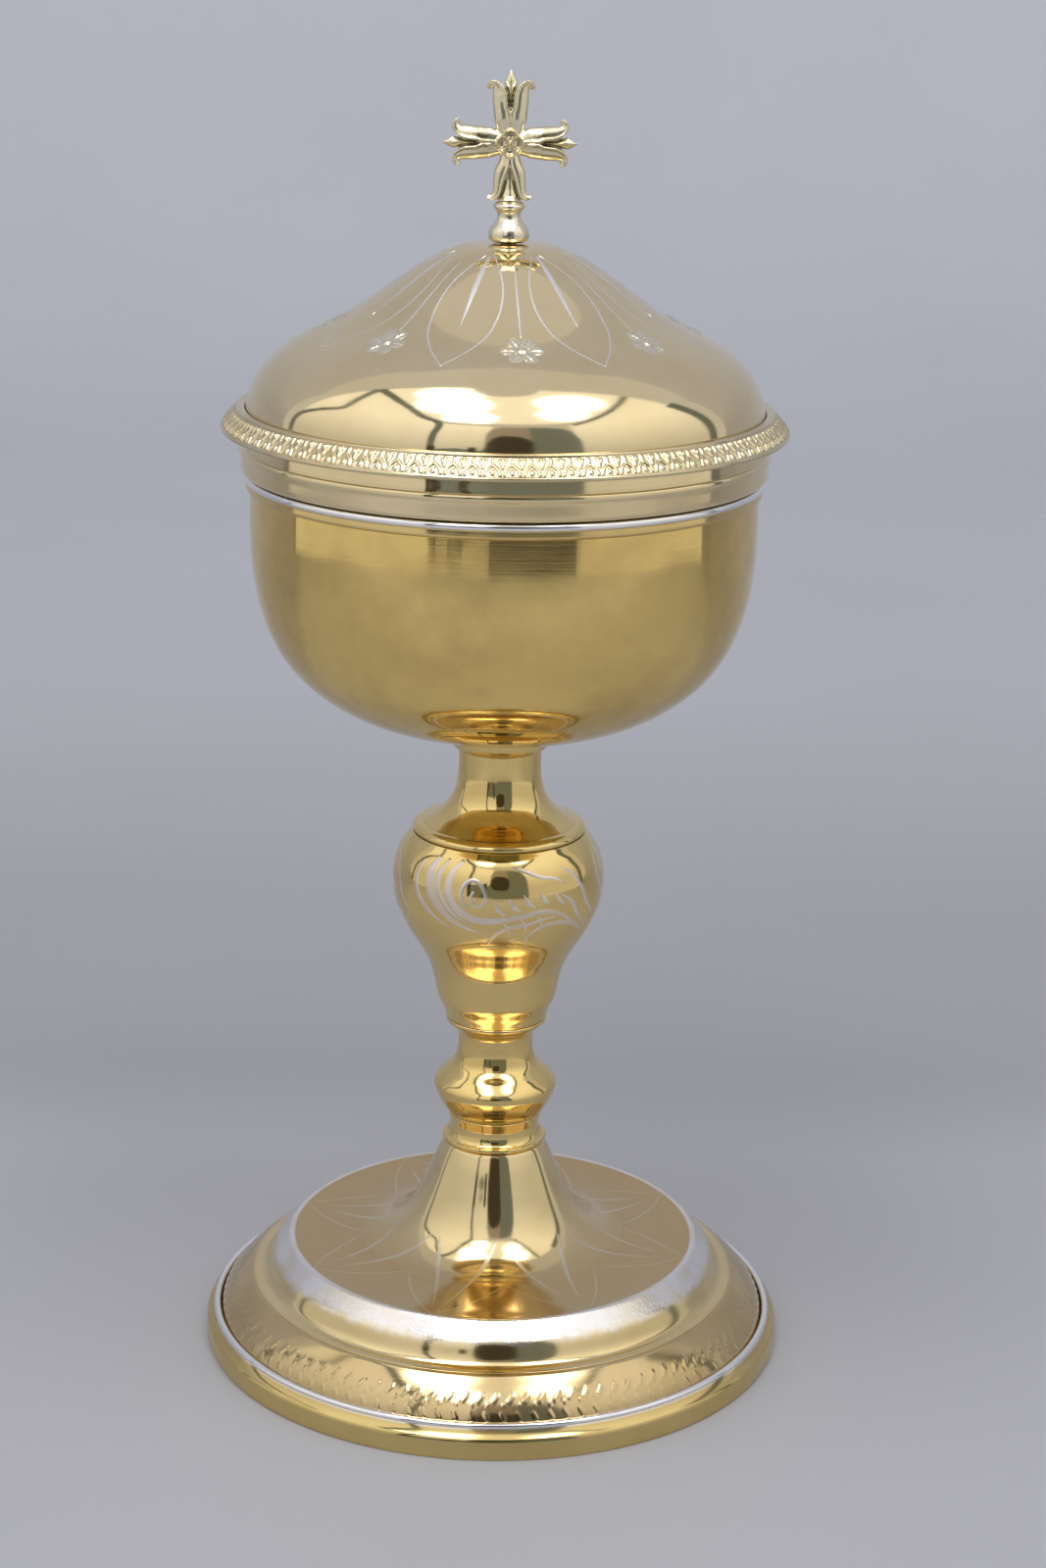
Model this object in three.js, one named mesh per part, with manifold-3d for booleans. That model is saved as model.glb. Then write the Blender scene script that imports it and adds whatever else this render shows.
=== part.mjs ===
// A covered ciborium in gilt brass, modelled piece by piece in millimetres.
// +Z is up, the origin is the middle of the foot's underside, and the cross faces -Y.
// The stem's turned pieces are threaded on one tie rod and clamped between foot and cup.
import * as THREE from 'three';
import { mergeVertices } from 'three/addons/utils/BufferGeometryUtils.js';
import Module from 'manifold-3d';

const wasm = await Module();
wasm.setup();

// Clearances
const SEAT_GAP = 0.3; // where two pieces are soldered, clamped or rest on each other
const BORE_GAP = 0.3; // round the tie rod and round the finial stud
const LID_GAP = 0.7; // between the cup's lip and the lid's skirt, measured on the radius

// Foot: base ring
const BASE_RADIUS = 65;
const BASE_RING_WIDTH = 4.6;
const BASE_BAND_HEIGHT = 4.6;
const BASE_STEP = 0.9; // the band's top edge steps in by this, and up by the same
const BASE_BEAD_RADIUS = 1;

// Foot: embossed border
const BORDER_WIDTH = 9.4;
const BORDER_RISE = 7.5;
const BORDER_BULGE = 1.5;
const BORDER_WALL = 1.2; // measured upright
const BORDER_BOSSES = 48; // in each of the two staggered rows
const BORDER_RELIEF = 0.45;

// Foot: spun shell with its plate and cone
const SHELL_WALL = 1;
const SHELL_LIP_COVER = 0.5; // how far the shell's lip covers the border's inner edge
const SHELL_STANDOFF = 2; // from the border's inner edge to the shell's steep wall
const SHELL_LEAN = 0.7; // how far the steep wall leans in over its height
const SHELL_WALL_HEIGHT = 3.8;
const SHOULDER_WIDTH = 3;
const SHOULDER_HEIGHT = 5.3;
const RIM_ROLL = 2; // width of the rolled rim round the plate
const PLATE_DISH = 1.1; // how far the plate lies below its rim
const CONE_SWEEP = 9.5; // the hollow curve from the plate up into the cone
const CONE_FOOT_RADIUS = 15.9;
const CONE_SWEEP_HEIGHT = 8.4;
const CONE_SIDE_HEIGHT = 15;
const CONE_TOP_RADIUS = 11.3;

// Stem, from below
const ROD_RADIUS = 3;
const ROD_TAIL = 3; // what stands out below the nut
const ROD_END_GAP = 0.5; // left above the rod in the socket
const WASHER_RADIUS = 8;
const WASHER_THICKNESS = 1.2;
const NUT_ACROSS_FLATS = 10;
const NUT_HEIGHT = 5;
const COLLAR_HEIGHT = 6.4;
const COLLAR_LIP_RADIUS = 11.7;
const COLLAR_LIP_HEIGHT = 1;
const COLLAR_WAIST_RADIUS = 10;
const COLLAR_TOP_RADIUS = 10.5;
const LOWER_KNOP_HEIGHT = 20.3;
const LOWER_KNOP_RADIUS = 13.6;
const LOWER_KNOP_FOOT_RADIUS = 10.6;
const LOWER_KNOP_WAIST_RADIUS = 8.3;
const LOWER_KNOP_TOP_RADIUS = 9.6;
const LOWER_KNOP_WIDEST = 5.6; // height of its widest place above its foot
const FOOT_RING_HEIGHT = 1.9;
const FOOT_RING_RADIUS = 11.1;
const KNOP_HEIGHT = 42.8;
const KNOP_RADIUS = 23.1;
const KNOP_FOOT_RADIUS = 11.2;
const KNOP_TOP_RADIUS = 18.8;
const KNOP_THROAT_RADIUS = 14.9;
const KNOP_THROAT_HEIGHT = 12.2;
const KNOP_WIDEST = 31.7; // height of its widest place above its foot
const KNOP_WALL = 1.4;
const TOP_RING_HEIGHT = 1.9;
const TOP_RING_RADIUS = 19.2;
const TOP_RING_BORE_RADIUS = 13.5;
const NECK_HEIGHT = 21.4;
const NECK_FLARE_RADIUS = 17;
const NECK_RADIUS = 9;
const NECK_COLLAR_RADIUS = 11.2;
const NECK_COLLAR_HEIGHT = 4.6;
const NECK_WALL = 1.4;
const SOCKET_RADIUS = 6.5;
const SOCKET_HEIGHT = 10;
const SOCKET_ROOF = 3;

// Cup
const CUP_RADIUS = 53.8;
const CUP_HEIGHT = 63.2;
const CUP_WALL = 0.9;
const CUP_FLAT_RADIUS = 14;
const CUP_KNUCKLE_RADIUS = 44.5; // where the bottom's sweep turns into the side
const CUP_KNUCKLE_HEIGHT = 12.5;
const CUP_STRAIGHT = 20; // the upper part of the side, which is straight up to the lip
const CUP_BEAD_DROP = 9; // from the lip down to the middle of the bead
const CUP_BEAD_RADIUS = 0.9;
const CUP_BEAD_FOOT = 1.7; // height of the flat moulding under the bead

// Lid
const SKIRT_HEIGHT = 8.5;
const SKIRT_WALL = 1.2;
const SKIRT_RIDGE_HEIGHT = 4.7; // middle of the ridge between the skirt's two bands
const SKIRT_RIDGE_WIDTH = 1.3;
const SKIRT_RIDGE_DEPTH = 0.4;
const LID_BORDER_WIDTH = 4.1;
const LID_BORDER_HEIGHT = 5;
const LID_BORDER_EDGE = 0.6; // half the height of its thin bright edge
const LID_BORDER_LEAVES = 48; // in each of the two staggered rows
const LID_BORDER_RELIEF = 0.35;
const DOME_WALL = 0.9;
const DOME_FLARE = 0.6; // how far its foot flares out onto the skirt
const DOME_FLARE_HEIGHT = 3.4;
const DOME_SHOULDER_RADIUS = 45;
const DOME_SHOULDER_HEIGHT = 17.9;
const DOME_HOLLOW_RADIUS = 30;
const DOME_HOLLOW_HEIGHT = 26;
const DOME_CROWN_RADIUS = 10;
const DOME_HEIGHT = 38.7;

// Finial
const STUD_RADIUS = 1.5;
const STUD_TAIL = 1;
const STUD_DEPTH = 5; // how far the stud goes up into the baluster
const FINIAL_WASHER_RADIUS = 5.5;
const FINIAL_WASHER_THICKNESS = 0.8;
const FINIAL_NUT_ACROSS_FLATS = 5.5;
const FINIAL_NUT_HEIGHT = 2.4;
const BALUSTER_HEIGHT = 8.4;
const BALUSTER_FOOT_RADIUS = 3;
const BALUSTER_BULGE_RADIUS = 4.3;
const BALUSTER_BULGE_HEIGHT = 4.3;
const BALUSTER_NECK_RADIUS = 2.35;
const BALUSTER_RING_RADIUS = 3.35;
const BALUSTER_RING_HEIGHT = 2;
const CROSS_STALK = 11.6; // from the baluster to the middle of the cross
const CROSS_TOP_ARM = 14.2;
const CROSS_SIDE_ARM = 13.4;
const CROSS_LOWER_ARM = 12.8;
const CROSS_HALF_DEPTH = 1.3;
const PETAL_HALF_WIDTH = 1.42;
const BUD_HALF_WIDTH = 1.15;
const STALK_RADIUS = 0.85;
const ROSETTE_PETAL_RADIUS = 1.3;
const ROSETTE_RING_RADIUS = 1.9;
const ROSETTE_HEIGHT = 0.7;

// Facets
const WIDE_SIDES = 36;
const STEM_SIDES = 24;
const SMALL_SIDES = 16;
const CURVE_STEPS = 4;
const HIDDEN_STEPS = 2;

const gilt = (color, roughness) =>
  new THREE.MeshStandardMaterial({ color, roughness, metalness: 1 });
const yellowGold = gilt(0xd2a94c, 0.16);
const paleGold = gilt(0xd0ba84, 0.18);
const silveryGold = gilt(0xcfc6a8, 0.3);
const plainBrass = gilt(0xa88f55, 0.45);

const point = (r, z) => new THREE.Vector2(r, z);

// An outline in the radius and height plane, drawn from its first point up.
function outlineFrom(r, z) {
  const path = new THREE.Path();
  path.moveTo(r, z);
  return path;
}

// Turns an outline round the upright axis.
function turned(points, sides) {
  return new THREE.LatheGeometry(points, sides).rotateX(Math.PI / 2);
}

// A turned piece with a straight bore: its outline is closed down the bore.
function bored(path, boreRadius, sides) {
  const outer = path.getPoints(CURVE_STEPS);
  const bottom = point(boreRadius, outer[0].y);
  const top = point(boreRadius, outer[outer.length - 1].y);
  return turned([bottom, ...outer, top, bottom.clone()], sides);
}

// The direction into the material of a stretch of an outline that is drawn upwards.
function inwardFrom(a, b) {
  return point(a.y - b.y, b.x - a.x).normalize();
}

// The same line one wall further in. Its two ends are cut level or upright.
function inset(points, wall) {
  const last = points.length - 1;
  return points.map((p, i) => {
    if (i === 0 || i === last) {
      const end = Math.min(i, last - 1);
      const inward = inwardFrom(points[end], points[end + 1]);
      const level = Math.abs(inward.x) > Math.abs(inward.y);
      return level ? point(p.x + wall / inward.x, p.y) : point(p.x, p.y + wall / inward.y);
    }
    const before = inwardFrom(points[i - 1], p);
    const inward = inwardFrom(p, points[i + 1]).add(before).normalize();
    return p.clone().addScaledVector(inward, wall / inward.dot(before));
  });
}

// A spun piece of sheet metal: the outside as drawn, the inside one wall away.
function spun(path, wall, sides, hiddenSteps = HIDDEN_STEPS) {
  const outer = path.getPoints(CURVE_STEPS);
  const inner = inset(path.getPoints(hiddenSteps), wall).reverse();
  const loop = [...outer, ...inner];
  if (outer[0].x > 0) loop.push(outer[0].clone());
  return turned(loop, sides);
}

// A closed section with rows of bosses, set in staggered columns round the axis.
// Each section point is [radius, height, relief, stagger].
function embossedRing(section, bosses) {
  const columns = bosses * 2;
  const count = section.length;
  const positions = [];
  for (let column = 0; column < columns; column += 1) {
    const angle = (column / columns) * Math.PI * 2;
    section.forEach(([radius, height, relief = 0, stagger = 0], row) => {
      const [r0, z0] = section[(row + count - 1) % count];
      const [r1, z1] = section[(row + 1) % count];
      const normal = new THREE.Vector2(z1 - z0, r0 - r1).normalize();
      const raised = (column + stagger) % 2 === 0 ? relief : 0;
      const r = radius + normal.x * raised;
      positions.push(r * Math.cos(angle), r * Math.sin(angle), height + normal.y * raised);
    });
  }
  const index = [];
  for (let column = 0; column < columns; column += 1) {
    const next = (column + 1) % columns;
    for (let row = 0; row < count; row += 1) {
      const above = (row + 1) % count;
      const a = column * count + row;
      const b = next * count + row;
      const c = next * count + above;
      const d = column * count + above;
      index.push(a, b, c, a, c, d);
    }
  }
  const geometry = new THREE.BufferGeometry();
  geometry.setAttribute('position', new THREE.Float32BufferAttribute(positions, 3));
  geometry.setIndex(index);
  geometry.computeVertexNormals();
  return geometry;
}

function hexNut(acrossFlats, boreRadius, height) {
  const corner = acrossFlats / Math.sqrt(3);
  const shape = new THREE.Shape();
  for (let i = 0; i < 6; i += 1) {
    const angle = (i / 6) * Math.PI * 2;
    const x = corner * Math.cos(angle);
    const y = corner * Math.sin(angle);
    if (i === 0) shape.moveTo(x, y);
    else shape.lineTo(x, y);
  }
  const bore = new THREE.Path();
  bore.absarc(0, 0, boreRadius, 0, Math.PI * 2, true);
  shape.holes.push(bore);
  const options = { depth: height, bevelEnabled: false, curveSegments: SMALL_SIDES / 2 };
  return new THREE.ExtrudeGeometry(shape, options);
}

// Heights of the stack, each piece standing on the one below it.
const shelfTop = BASE_BAND_HEIGHT + BASE_STEP;
const borderBottom = shelfTop + SEAT_GAP;
const borderTop = borderBottom + BORDER_RISE;
const lipTop = borderTop + SEAT_GAP + SHELL_WALL;
const shoulderBottom = lipTop + SHELL_WALL_HEIGHT;
const rimTop = shoulderBottom + SHOULDER_HEIGHT;
const plateTop = rimTop - PLATE_DISH;
const coneSideBottom = plateTop + CONE_SWEEP_HEIGHT;
const footTop = coneSideBottom + CONE_SIDE_HEIGHT;
const collarBottom = footTop + SEAT_GAP;
const lowerKnopBottom = collarBottom + COLLAR_HEIGHT + SEAT_GAP;
const footRingBottom = lowerKnopBottom + LOWER_KNOP_HEIGHT + SEAT_GAP;
const knopBottom = footRingBottom + FOOT_RING_HEIGHT + SEAT_GAP;
const topRingBottom = knopBottom + KNOP_HEIGHT + SEAT_GAP;
const neckBottom = topRingBottom + TOP_RING_HEIGHT + SEAT_GAP;
const neckTop = neckBottom + NECK_HEIGHT;
const cupBottom = neckTop + SEAT_GAP;
const cupLip = cupBottom + CUP_HEIGHT;
const cupBeadMiddle = cupLip - CUP_BEAD_DROP;
const skirtBottom = cupBeadMiddle + CUP_BEAD_RADIUS + SEAT_GAP;
const skirtTop = skirtBottom + SKIRT_HEIGHT;
const domeBottom = skirtTop + SEAT_GAP;
const domeTop = domeBottom + DOME_HEIGHT;
const balusterBottom = domeTop + SEAT_GAP;
const balusterTop = balusterBottom + BALUSTER_HEIGHT;
const crossBottom = balusterTop + SEAT_GAP;
const crossMiddle = balusterTop + CROSS_STALK;

// Radii that follow from their neighbours.
const beadMiddleRadius = BASE_RADIUS - BASE_STEP - BASE_BEAD_RADIUS;
const borderOuterRadius = beadMiddleRadius - BASE_BEAD_RADIUS - SEAT_GAP;
const borderInnerRadius = borderOuterRadius - BORDER_WIDTH;
const shellWallRadius = borderInnerRadius - SHELL_STANDOFF;
const rimRadius = shellWallRadius - SHOULDER_WIDTH;
const rodBore = ROD_RADIUS + BORE_GAP;
const skirtInnerRadius = CUP_RADIUS + LID_GAP;
const skirtOuterRadius = skirtInnerRadius + SKIRT_WALL;
const domeFootRadius = (skirtInnerRadius + skirtOuterRadius) / 2;

function footBaseRing() {
  const inner = BASE_RADIUS - BASE_RING_WIDTH;
  const path = outlineFrom(inner, 0);
  path.lineTo(BASE_RADIUS, 0);
  path.lineTo(BASE_RADIUS, BASE_BAND_HEIGHT);
  path.lineTo(BASE_RADIUS - BASE_STEP, shelfTop);
  const beadMiddle = shelfTop + BASE_BEAD_RADIUS;
  path.absarc(beadMiddleRadius, beadMiddle, BASE_BEAD_RADIUS, 0, Math.PI, false);
  path.lineTo(beadMiddleRadius - BASE_BEAD_RADIUS, shelfTop);
  path.lineTo(inner, shelfTop);
  path.lineTo(inner, 0);
  return turned(path.getPoints(HIDDEN_STEPS), WIDE_SIDES);
}

// The border's visible line bulges out between the base ring and the shell's lip.
function footBorder() {
  const middle = point((borderOuterRadius + borderInnerRadius) / 2, (borderBottom + borderTop) / 2);
  const outward = point(BORDER_RISE, BORDER_WIDTH).normalize();
  const control = middle.add(outward.multiplyScalar(2 * BORDER_BULGE));
  const line = new THREE.QuadraticBezierCurve(
    point(borderOuterRadius, borderBottom),
    control,
    point(borderInnerRadius, borderTop),
  );
  const outer = [0, 0.3, 0.6, 1].map((t) => line.getPoint(t));
  const middleUnder = line.getPoint(0.5);
  const section = [
    [outer[0].x, outer[0].y],
    [outer[1].x, outer[1].y, BORDER_RELIEF, 0],
    [outer[2].x, outer[2].y, BORDER_RELIEF, 1],
    [outer[3].x, outer[3].y],
    [borderInnerRadius, borderTop - BORDER_WALL],
    [middleUnder.x, middleUnder.y - BORDER_WALL],
    [borderOuterRadius - BORDER_WALL, borderBottom],
  ];
  return embossedRing(section, BORDER_BOSSES);
}

function footShell() {
  const path = outlineFrom(borderInnerRadius + SHELL_LIP_COVER, lipTop);
  path.lineTo(shellWallRadius + SHELL_LEAN, lipTop);
  path.lineTo(shellWallRadius, shoulderBottom);
  path.quadraticCurveTo(shellWallRadius, rimTop, rimRadius, rimTop);
  path.lineTo(rimRadius - RIM_ROLL, plateTop);
  path.lineTo(CONE_FOOT_RADIUS + CONE_SWEEP, plateTop);
  path.quadraticCurveTo(CONE_FOOT_RADIUS + RIM_ROLL, plateTop, CONE_FOOT_RADIUS, coneSideBottom);
  path.lineTo(CONE_TOP_RADIUS, footTop - SHELL_WALL);
  path.lineTo(CONE_TOP_RADIUS - SHELL_WALL, footTop);
  path.lineTo(rodBore, footTop);
  return spun(path, SHELL_WALL, WIDE_SIDES);
}

function footWasher() {
  const top = footTop - SHELL_WALL - SEAT_GAP;
  const path = outlineFrom(WASHER_RADIUS, top - WASHER_THICKNESS);
  path.lineTo(WASHER_RADIUS, top);
  return bored(path, rodBore, SMALL_SIDES);
}

const footNutTop = footTop - SHELL_WALL - WASHER_THICKNESS - 2 * SEAT_GAP;
const rodBottom = footNutTop - NUT_HEIGHT - ROD_TAIL;
const rodTop = neckTop - SOCKET_ROOF - ROD_END_GAP;

function footNut() {
  const nut = hexNut(NUT_ACROSS_FLATS, rodBore, NUT_HEIGHT);
  return nut.translate(0, 0, footNutTop - NUT_HEIGHT);
}

function tieRod() {
  const outline = [
    point(0, rodBottom),
    point(ROD_RADIUS, rodBottom),
    point(ROD_RADIUS, rodTop),
    point(0, rodTop),
  ];
  return turned(outline, SMALL_SIDES);
}

function lowerCollar() {
  const top = collarBottom + COLLAR_HEIGHT;
  const lip = collarBottom + COLLAR_LIP_HEIGHT;
  const waist = (lip + top) / 2;
  const path = outlineFrom(COLLAR_LIP_RADIUS, collarBottom);
  path.lineTo(COLLAR_LIP_RADIUS, lip);
  path.quadraticCurveTo(COLLAR_WAIST_RADIUS, lip, COLLAR_WAIST_RADIUS, waist);
  path.lineTo(COLLAR_TOP_RADIUS, top);
  return bored(path, rodBore, STEM_SIDES);
}

function lowerKnop() {
  const widest = lowerKnopBottom + LOWER_KNOP_WIDEST;
  const top = lowerKnopBottom + LOWER_KNOP_HEIGHT;
  const bell = top - widest;
  const waist = widest + bell * 0.72;
  const path = outlineFrom(LOWER_KNOP_FOOT_RADIUS, lowerKnopBottom);
  path.quadraticCurveTo(LOWER_KNOP_RADIUS, widest - LOWER_KNOP_WIDEST / 2, LOWER_KNOP_RADIUS, widest);
  path.bezierCurveTo(
    LOWER_KNOP_RADIUS,
    widest + bell * 0.18,
    LOWER_KNOP_WAIST_RADIUS + 0.4,
    widest + bell * 0.3,
    LOWER_KNOP_WAIST_RADIUS,
    waist,
  );
  path.quadraticCurveTo(LOWER_KNOP_WAIST_RADIUS, (waist + top) / 2, LOWER_KNOP_TOP_RADIUS, top);
  return bored(path, rodBore, STEM_SIDES);
}

function knopFootRing() {
  const top = footRingBottom + FOOT_RING_HEIGHT;
  const path = outlineFrom(LOWER_KNOP_TOP_RADIUS, footRingBottom);
  path.quadraticCurveTo(FOOT_RING_RADIUS, footRingBottom, FOOT_RING_RADIUS, top);
  return bored(path, rodBore, STEM_SIDES);
}

// The pear-shaped knop is a hollow casting, open at both ends on the rings that hold it.
function knop() {
  const throat = knopBottom + KNOP_THROAT_HEIGHT;
  const widest = knopBottom + KNOP_WIDEST;
  const top = knopBottom + KNOP_HEIGHT;
  const belly = widest - throat;
  const shoulder = top - widest;
  const path = outlineFrom(KNOP_FOOT_RADIUS, knopBottom);
  path.bezierCurveTo(
    KNOP_FOOT_RADIUS + 2.1,
    knopBottom + KNOP_THROAT_HEIGHT * 0.22,
    KNOP_THROAT_RADIUS - 2,
    throat - KNOP_THROAT_HEIGHT * 0.36,
    KNOP_THROAT_RADIUS,
    throat,
  );
  path.bezierCurveTo(
    KNOP_THROAT_RADIUS + 1.4,
    throat + belly * 0.17,
    KNOP_RADIUS - 0.4,
    widest - belly * 0.48,
    KNOP_RADIUS,
    widest,
  );
  path.bezierCurveTo(
    KNOP_RADIUS,
    widest + shoulder * 0.43,
    KNOP_TOP_RADIUS + 2.8,
    top - shoulder * 0.24,
    KNOP_TOP_RADIUS,
    top,
  );
  return spun(path, KNOP_WALL, STEM_SIDES);
}

function knopTopRing() {
  const top = topRingBottom + TOP_RING_HEIGHT;
  const path = outlineFrom(KNOP_TOP_RADIUS, topRingBottom);
  path.quadraticCurveTo(TOP_RING_RADIUS + 0.4, (topRingBottom + top) / 2, NECK_FLARE_RADIUS, top);
  return bored(path, TOP_RING_BORE_RADIUS, STEM_SIDES);
}

function neck() {
  const collar = neckTop - NECK_COLLAR_HEIGHT;
  const flare = (collar - neckBottom) * 0.72;
  const path = outlineFrom(NECK_FLARE_RADIUS, neckBottom);
  path.bezierCurveTo(
    NECK_FLARE_RADIUS - 4,
    neckBottom + flare * 0.13,
    NECK_RADIUS,
    neckBottom + flare * 0.38,
    NECK_RADIUS,
    neckBottom + flare,
  );
  path.lineTo(NECK_RADIUS, collar);
  path.lineTo(NECK_COLLAR_RADIUS, collar + (NECK_COLLAR_RADIUS - NECK_RADIUS) / 2);
  path.lineTo(NECK_COLLAR_RADIUS, neckTop);
  return bored(path, NECK_RADIUS - NECK_WALL, STEM_SIDES);
}

// A blind threaded boss under the cup, into which the tie rod is screwed.
function cupSocket() {
  const roof = neckTop - SOCKET_ROOF;
  const bottom = neckTop - SOCKET_HEIGHT;
  const outline = [
    point(0, roof),
    point(rodBore, roof),
    point(rodBore, bottom),
    point(SOCKET_RADIUS, bottom),
    point(SOCKET_RADIUS, neckTop),
    point(0, neckTop),
  ];
  return turned(outline, SMALL_SIDES);
}

function cup() {
  const knuckle = cupBottom + CUP_KNUCKLE_HEIGHT;
  const side = cupLip - CUP_STRAIGHT;
  const reach = CUP_KNUCKLE_RADIUS - CUP_FLAT_RADIUS;
  const rise = side - knuckle;
  const path = outlineFrom(0, cupBottom);
  path.lineTo(CUP_FLAT_RADIUS, cupBottom);
  path.bezierCurveTo(
    CUP_FLAT_RADIUS + reach * 0.4,
    cupBottom,
    CUP_KNUCKLE_RADIUS - reach * 0.24,
    knuckle - CUP_KNUCKLE_HEIGHT * 0.62,
    CUP_KNUCKLE_RADIUS,
    knuckle,
  );
  path.bezierCurveTo(
    CUP_KNUCKLE_RADIUS + (CUP_RADIUS - CUP_KNUCKLE_RADIUS) * 0.65,
    knuckle + rise * 0.21,
    CUP_RADIUS,
    side - rise * 0.47,
    CUP_RADIUS,
    side,
  );
  path.lineTo(CUP_RADIUS, cupLip);
  return spun(path, CUP_WALL, WIDE_SIDES, CURVE_STEPS);
}

// The half-round bead that the lid comes down on, with a flat moulding under it.
function cupBead() {
  const inner = CUP_RADIUS + SEAT_GAP;
  const bottom = cupBeadMiddle - CUP_BEAD_RADIUS;
  const path = outlineFrom(inner, bottom - CUP_BEAD_FOOT);
  path.lineTo(inner + CUP_BEAD_RADIUS / 2, bottom - CUP_BEAD_FOOT / 2);
  path.lineTo(inner + CUP_BEAD_RADIUS / 2, bottom);
  path.absarc(inner, cupBeadMiddle, CUP_BEAD_RADIUS, -Math.PI / 3, Math.PI / 2, false);
  path.lineTo(inner, bottom - CUP_BEAD_FOOT);
  return turned(path.getPoints(HIDDEN_STEPS), WIDE_SIDES);
}

function lidSkirt() {
  const ridge = skirtBottom + SKIRT_RIDGE_HEIGHT;
  const half = SKIRT_RIDGE_WIDTH / 2;
  const path = outlineFrom(skirtInnerRadius, skirtBottom);
  path.lineTo(skirtOuterRadius - SKIRT_WALL / 2, skirtBottom);
  path.lineTo(skirtOuterRadius, skirtBottom + SKIRT_WALL);
  path.lineTo(skirtOuterRadius, ridge - half);
  path.lineTo(skirtOuterRadius + SKIRT_RIDGE_DEPTH, ridge - half / 2);
  path.lineTo(skirtOuterRadius + SKIRT_RIDGE_DEPTH, ridge + half / 2);
  path.lineTo(skirtOuterRadius, ridge + half);
  path.lineTo(skirtOuterRadius, skirtTop);
  path.lineTo(skirtInnerRadius, skirtTop);
  path.lineTo(skirtInnerRadius, skirtBottom);
  return turned(path.getPoints(), WIDE_SIDES);
}

// A cast ring of leaf tips that leans against the dome's foot.
function lidBorder() {
  const inner = domeFootRadius + DOME_FLARE / 2 + SEAT_GAP;
  const outer = inner + LID_BORDER_WIDTH;
  const bottom = domeBottom;
  const edge = bottom + LID_BORDER_EDGE;
  const top = bottom + LID_BORDER_HEIGHT;
  const faceBottom = point(outer - LID_BORDER_EDGE / 2, edge + LID_BORDER_EDGE);
  const faceTop = point(inner + LID_BORDER_EDGE, top - LID_BORDER_EDGE / 2);
  const lower = faceBottom.clone().lerp(faceTop, 0.35);
  const upper = faceBottom.clone().lerp(faceTop, 0.7);
  const section = [
    [inner, bottom],
    [outer - LID_BORDER_EDGE, bottom],
    [outer, edge],
    [faceBottom.x, faceBottom.y],
    [lower.x, lower.y, LID_BORDER_RELIEF, 0],
    [upper.x, upper.y, LID_BORDER_RELIEF, 1],
    [faceTop.x, faceTop.y],
    [inner - DOME_FLARE, top],
  ];
  return embossedRing(section, LID_BORDER_LEAVES);
}

// The dome is an ogee: a full shoulder, a hollow flank and a nearly flat crown.
function lidDome() {
  const foot = domeFootRadius + DOME_FLARE / 2;
  const side = foot - DOME_FLARE;
  const flare = domeBottom + DOME_FLARE_HEIGHT;
  const shoulder = domeBottom + DOME_SHOULDER_HEIGHT;
  const hollow = domeBottom + DOME_HOLLOW_HEIGHT;
  const flank = DOME_SHOULDER_RADIUS - DOME_HOLLOW_RADIUS;
  const crown = DOME_HOLLOW_RADIUS - DOME_CROWN_RADIUS;
  const rise = domeTop - hollow;
  const path = outlineFrom(foot, domeBottom);
  path.lineTo(side, flare);
  path.bezierCurveTo(
    side - (side - DOME_SHOULDER_RADIUS) * 0.05,
    flare + (shoulder - flare) * 0.36,
    side - (side - DOME_SHOULDER_RADIUS) * 0.3,
    shoulder - (shoulder - flare) * 0.29,
    DOME_SHOULDER_RADIUS,
    shoulder,
  );
  path.bezierCurveTo(
    DOME_SHOULDER_RADIUS - flank * 0.3,
    shoulder + (hollow - shoulder) * 0.33,
    DOME_HOLLOW_RADIUS + flank * 0.4,
    hollow - (hollow - shoulder) * 0.49,
    DOME_HOLLOW_RADIUS,
    hollow,
  );
  path.bezierCurveTo(
    DOME_HOLLOW_RADIUS - crown * 0.275,
    hollow + rise * 0.29,
    DOME_CROWN_RADIUS + crown * 0.35,
    domeTop - rise * 0.22,
    DOME_CROWN_RADIUS,
    domeTop - rise * 0.03,
  );
  path.lineTo(STUD_RADIUS + BORE_GAP, domeTop);
  return spun(path, DOME_WALL, WIDE_SIDES);
}

const finialWasherTop = domeTop - DOME_WALL - SEAT_GAP;
const finialNutTop = finialWasherTop - FINIAL_WASHER_THICKNESS - SEAT_GAP;

function finialWasher() {
  const path = outlineFrom(FINIAL_WASHER_RADIUS, finialWasherTop - FINIAL_WASHER_THICKNESS);
  path.lineTo(FINIAL_WASHER_RADIUS, finialWasherTop);
  return bored(path, STUD_RADIUS + BORE_GAP, SMALL_SIDES);
}

function finialNut() {
  const nut = hexNut(FINIAL_NUT_ACROSS_FLATS, STUD_RADIUS + BORE_GAP, FINIAL_NUT_HEIGHT);
  return nut.translate(0, 0, finialNutTop - FINIAL_NUT_HEIGHT);
}

function finialStud() {
  const bottom = finialNutTop - FINIAL_NUT_HEIGHT - STUD_TAIL;
  const top = balusterBottom + STUD_DEPTH - ROD_END_GAP;
  const outline = [point(0, bottom), point(STUD_RADIUS, bottom), point(STUD_RADIUS, top), point(0, top)];
  return turned(outline, SMALL_SIDES);
}

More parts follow.
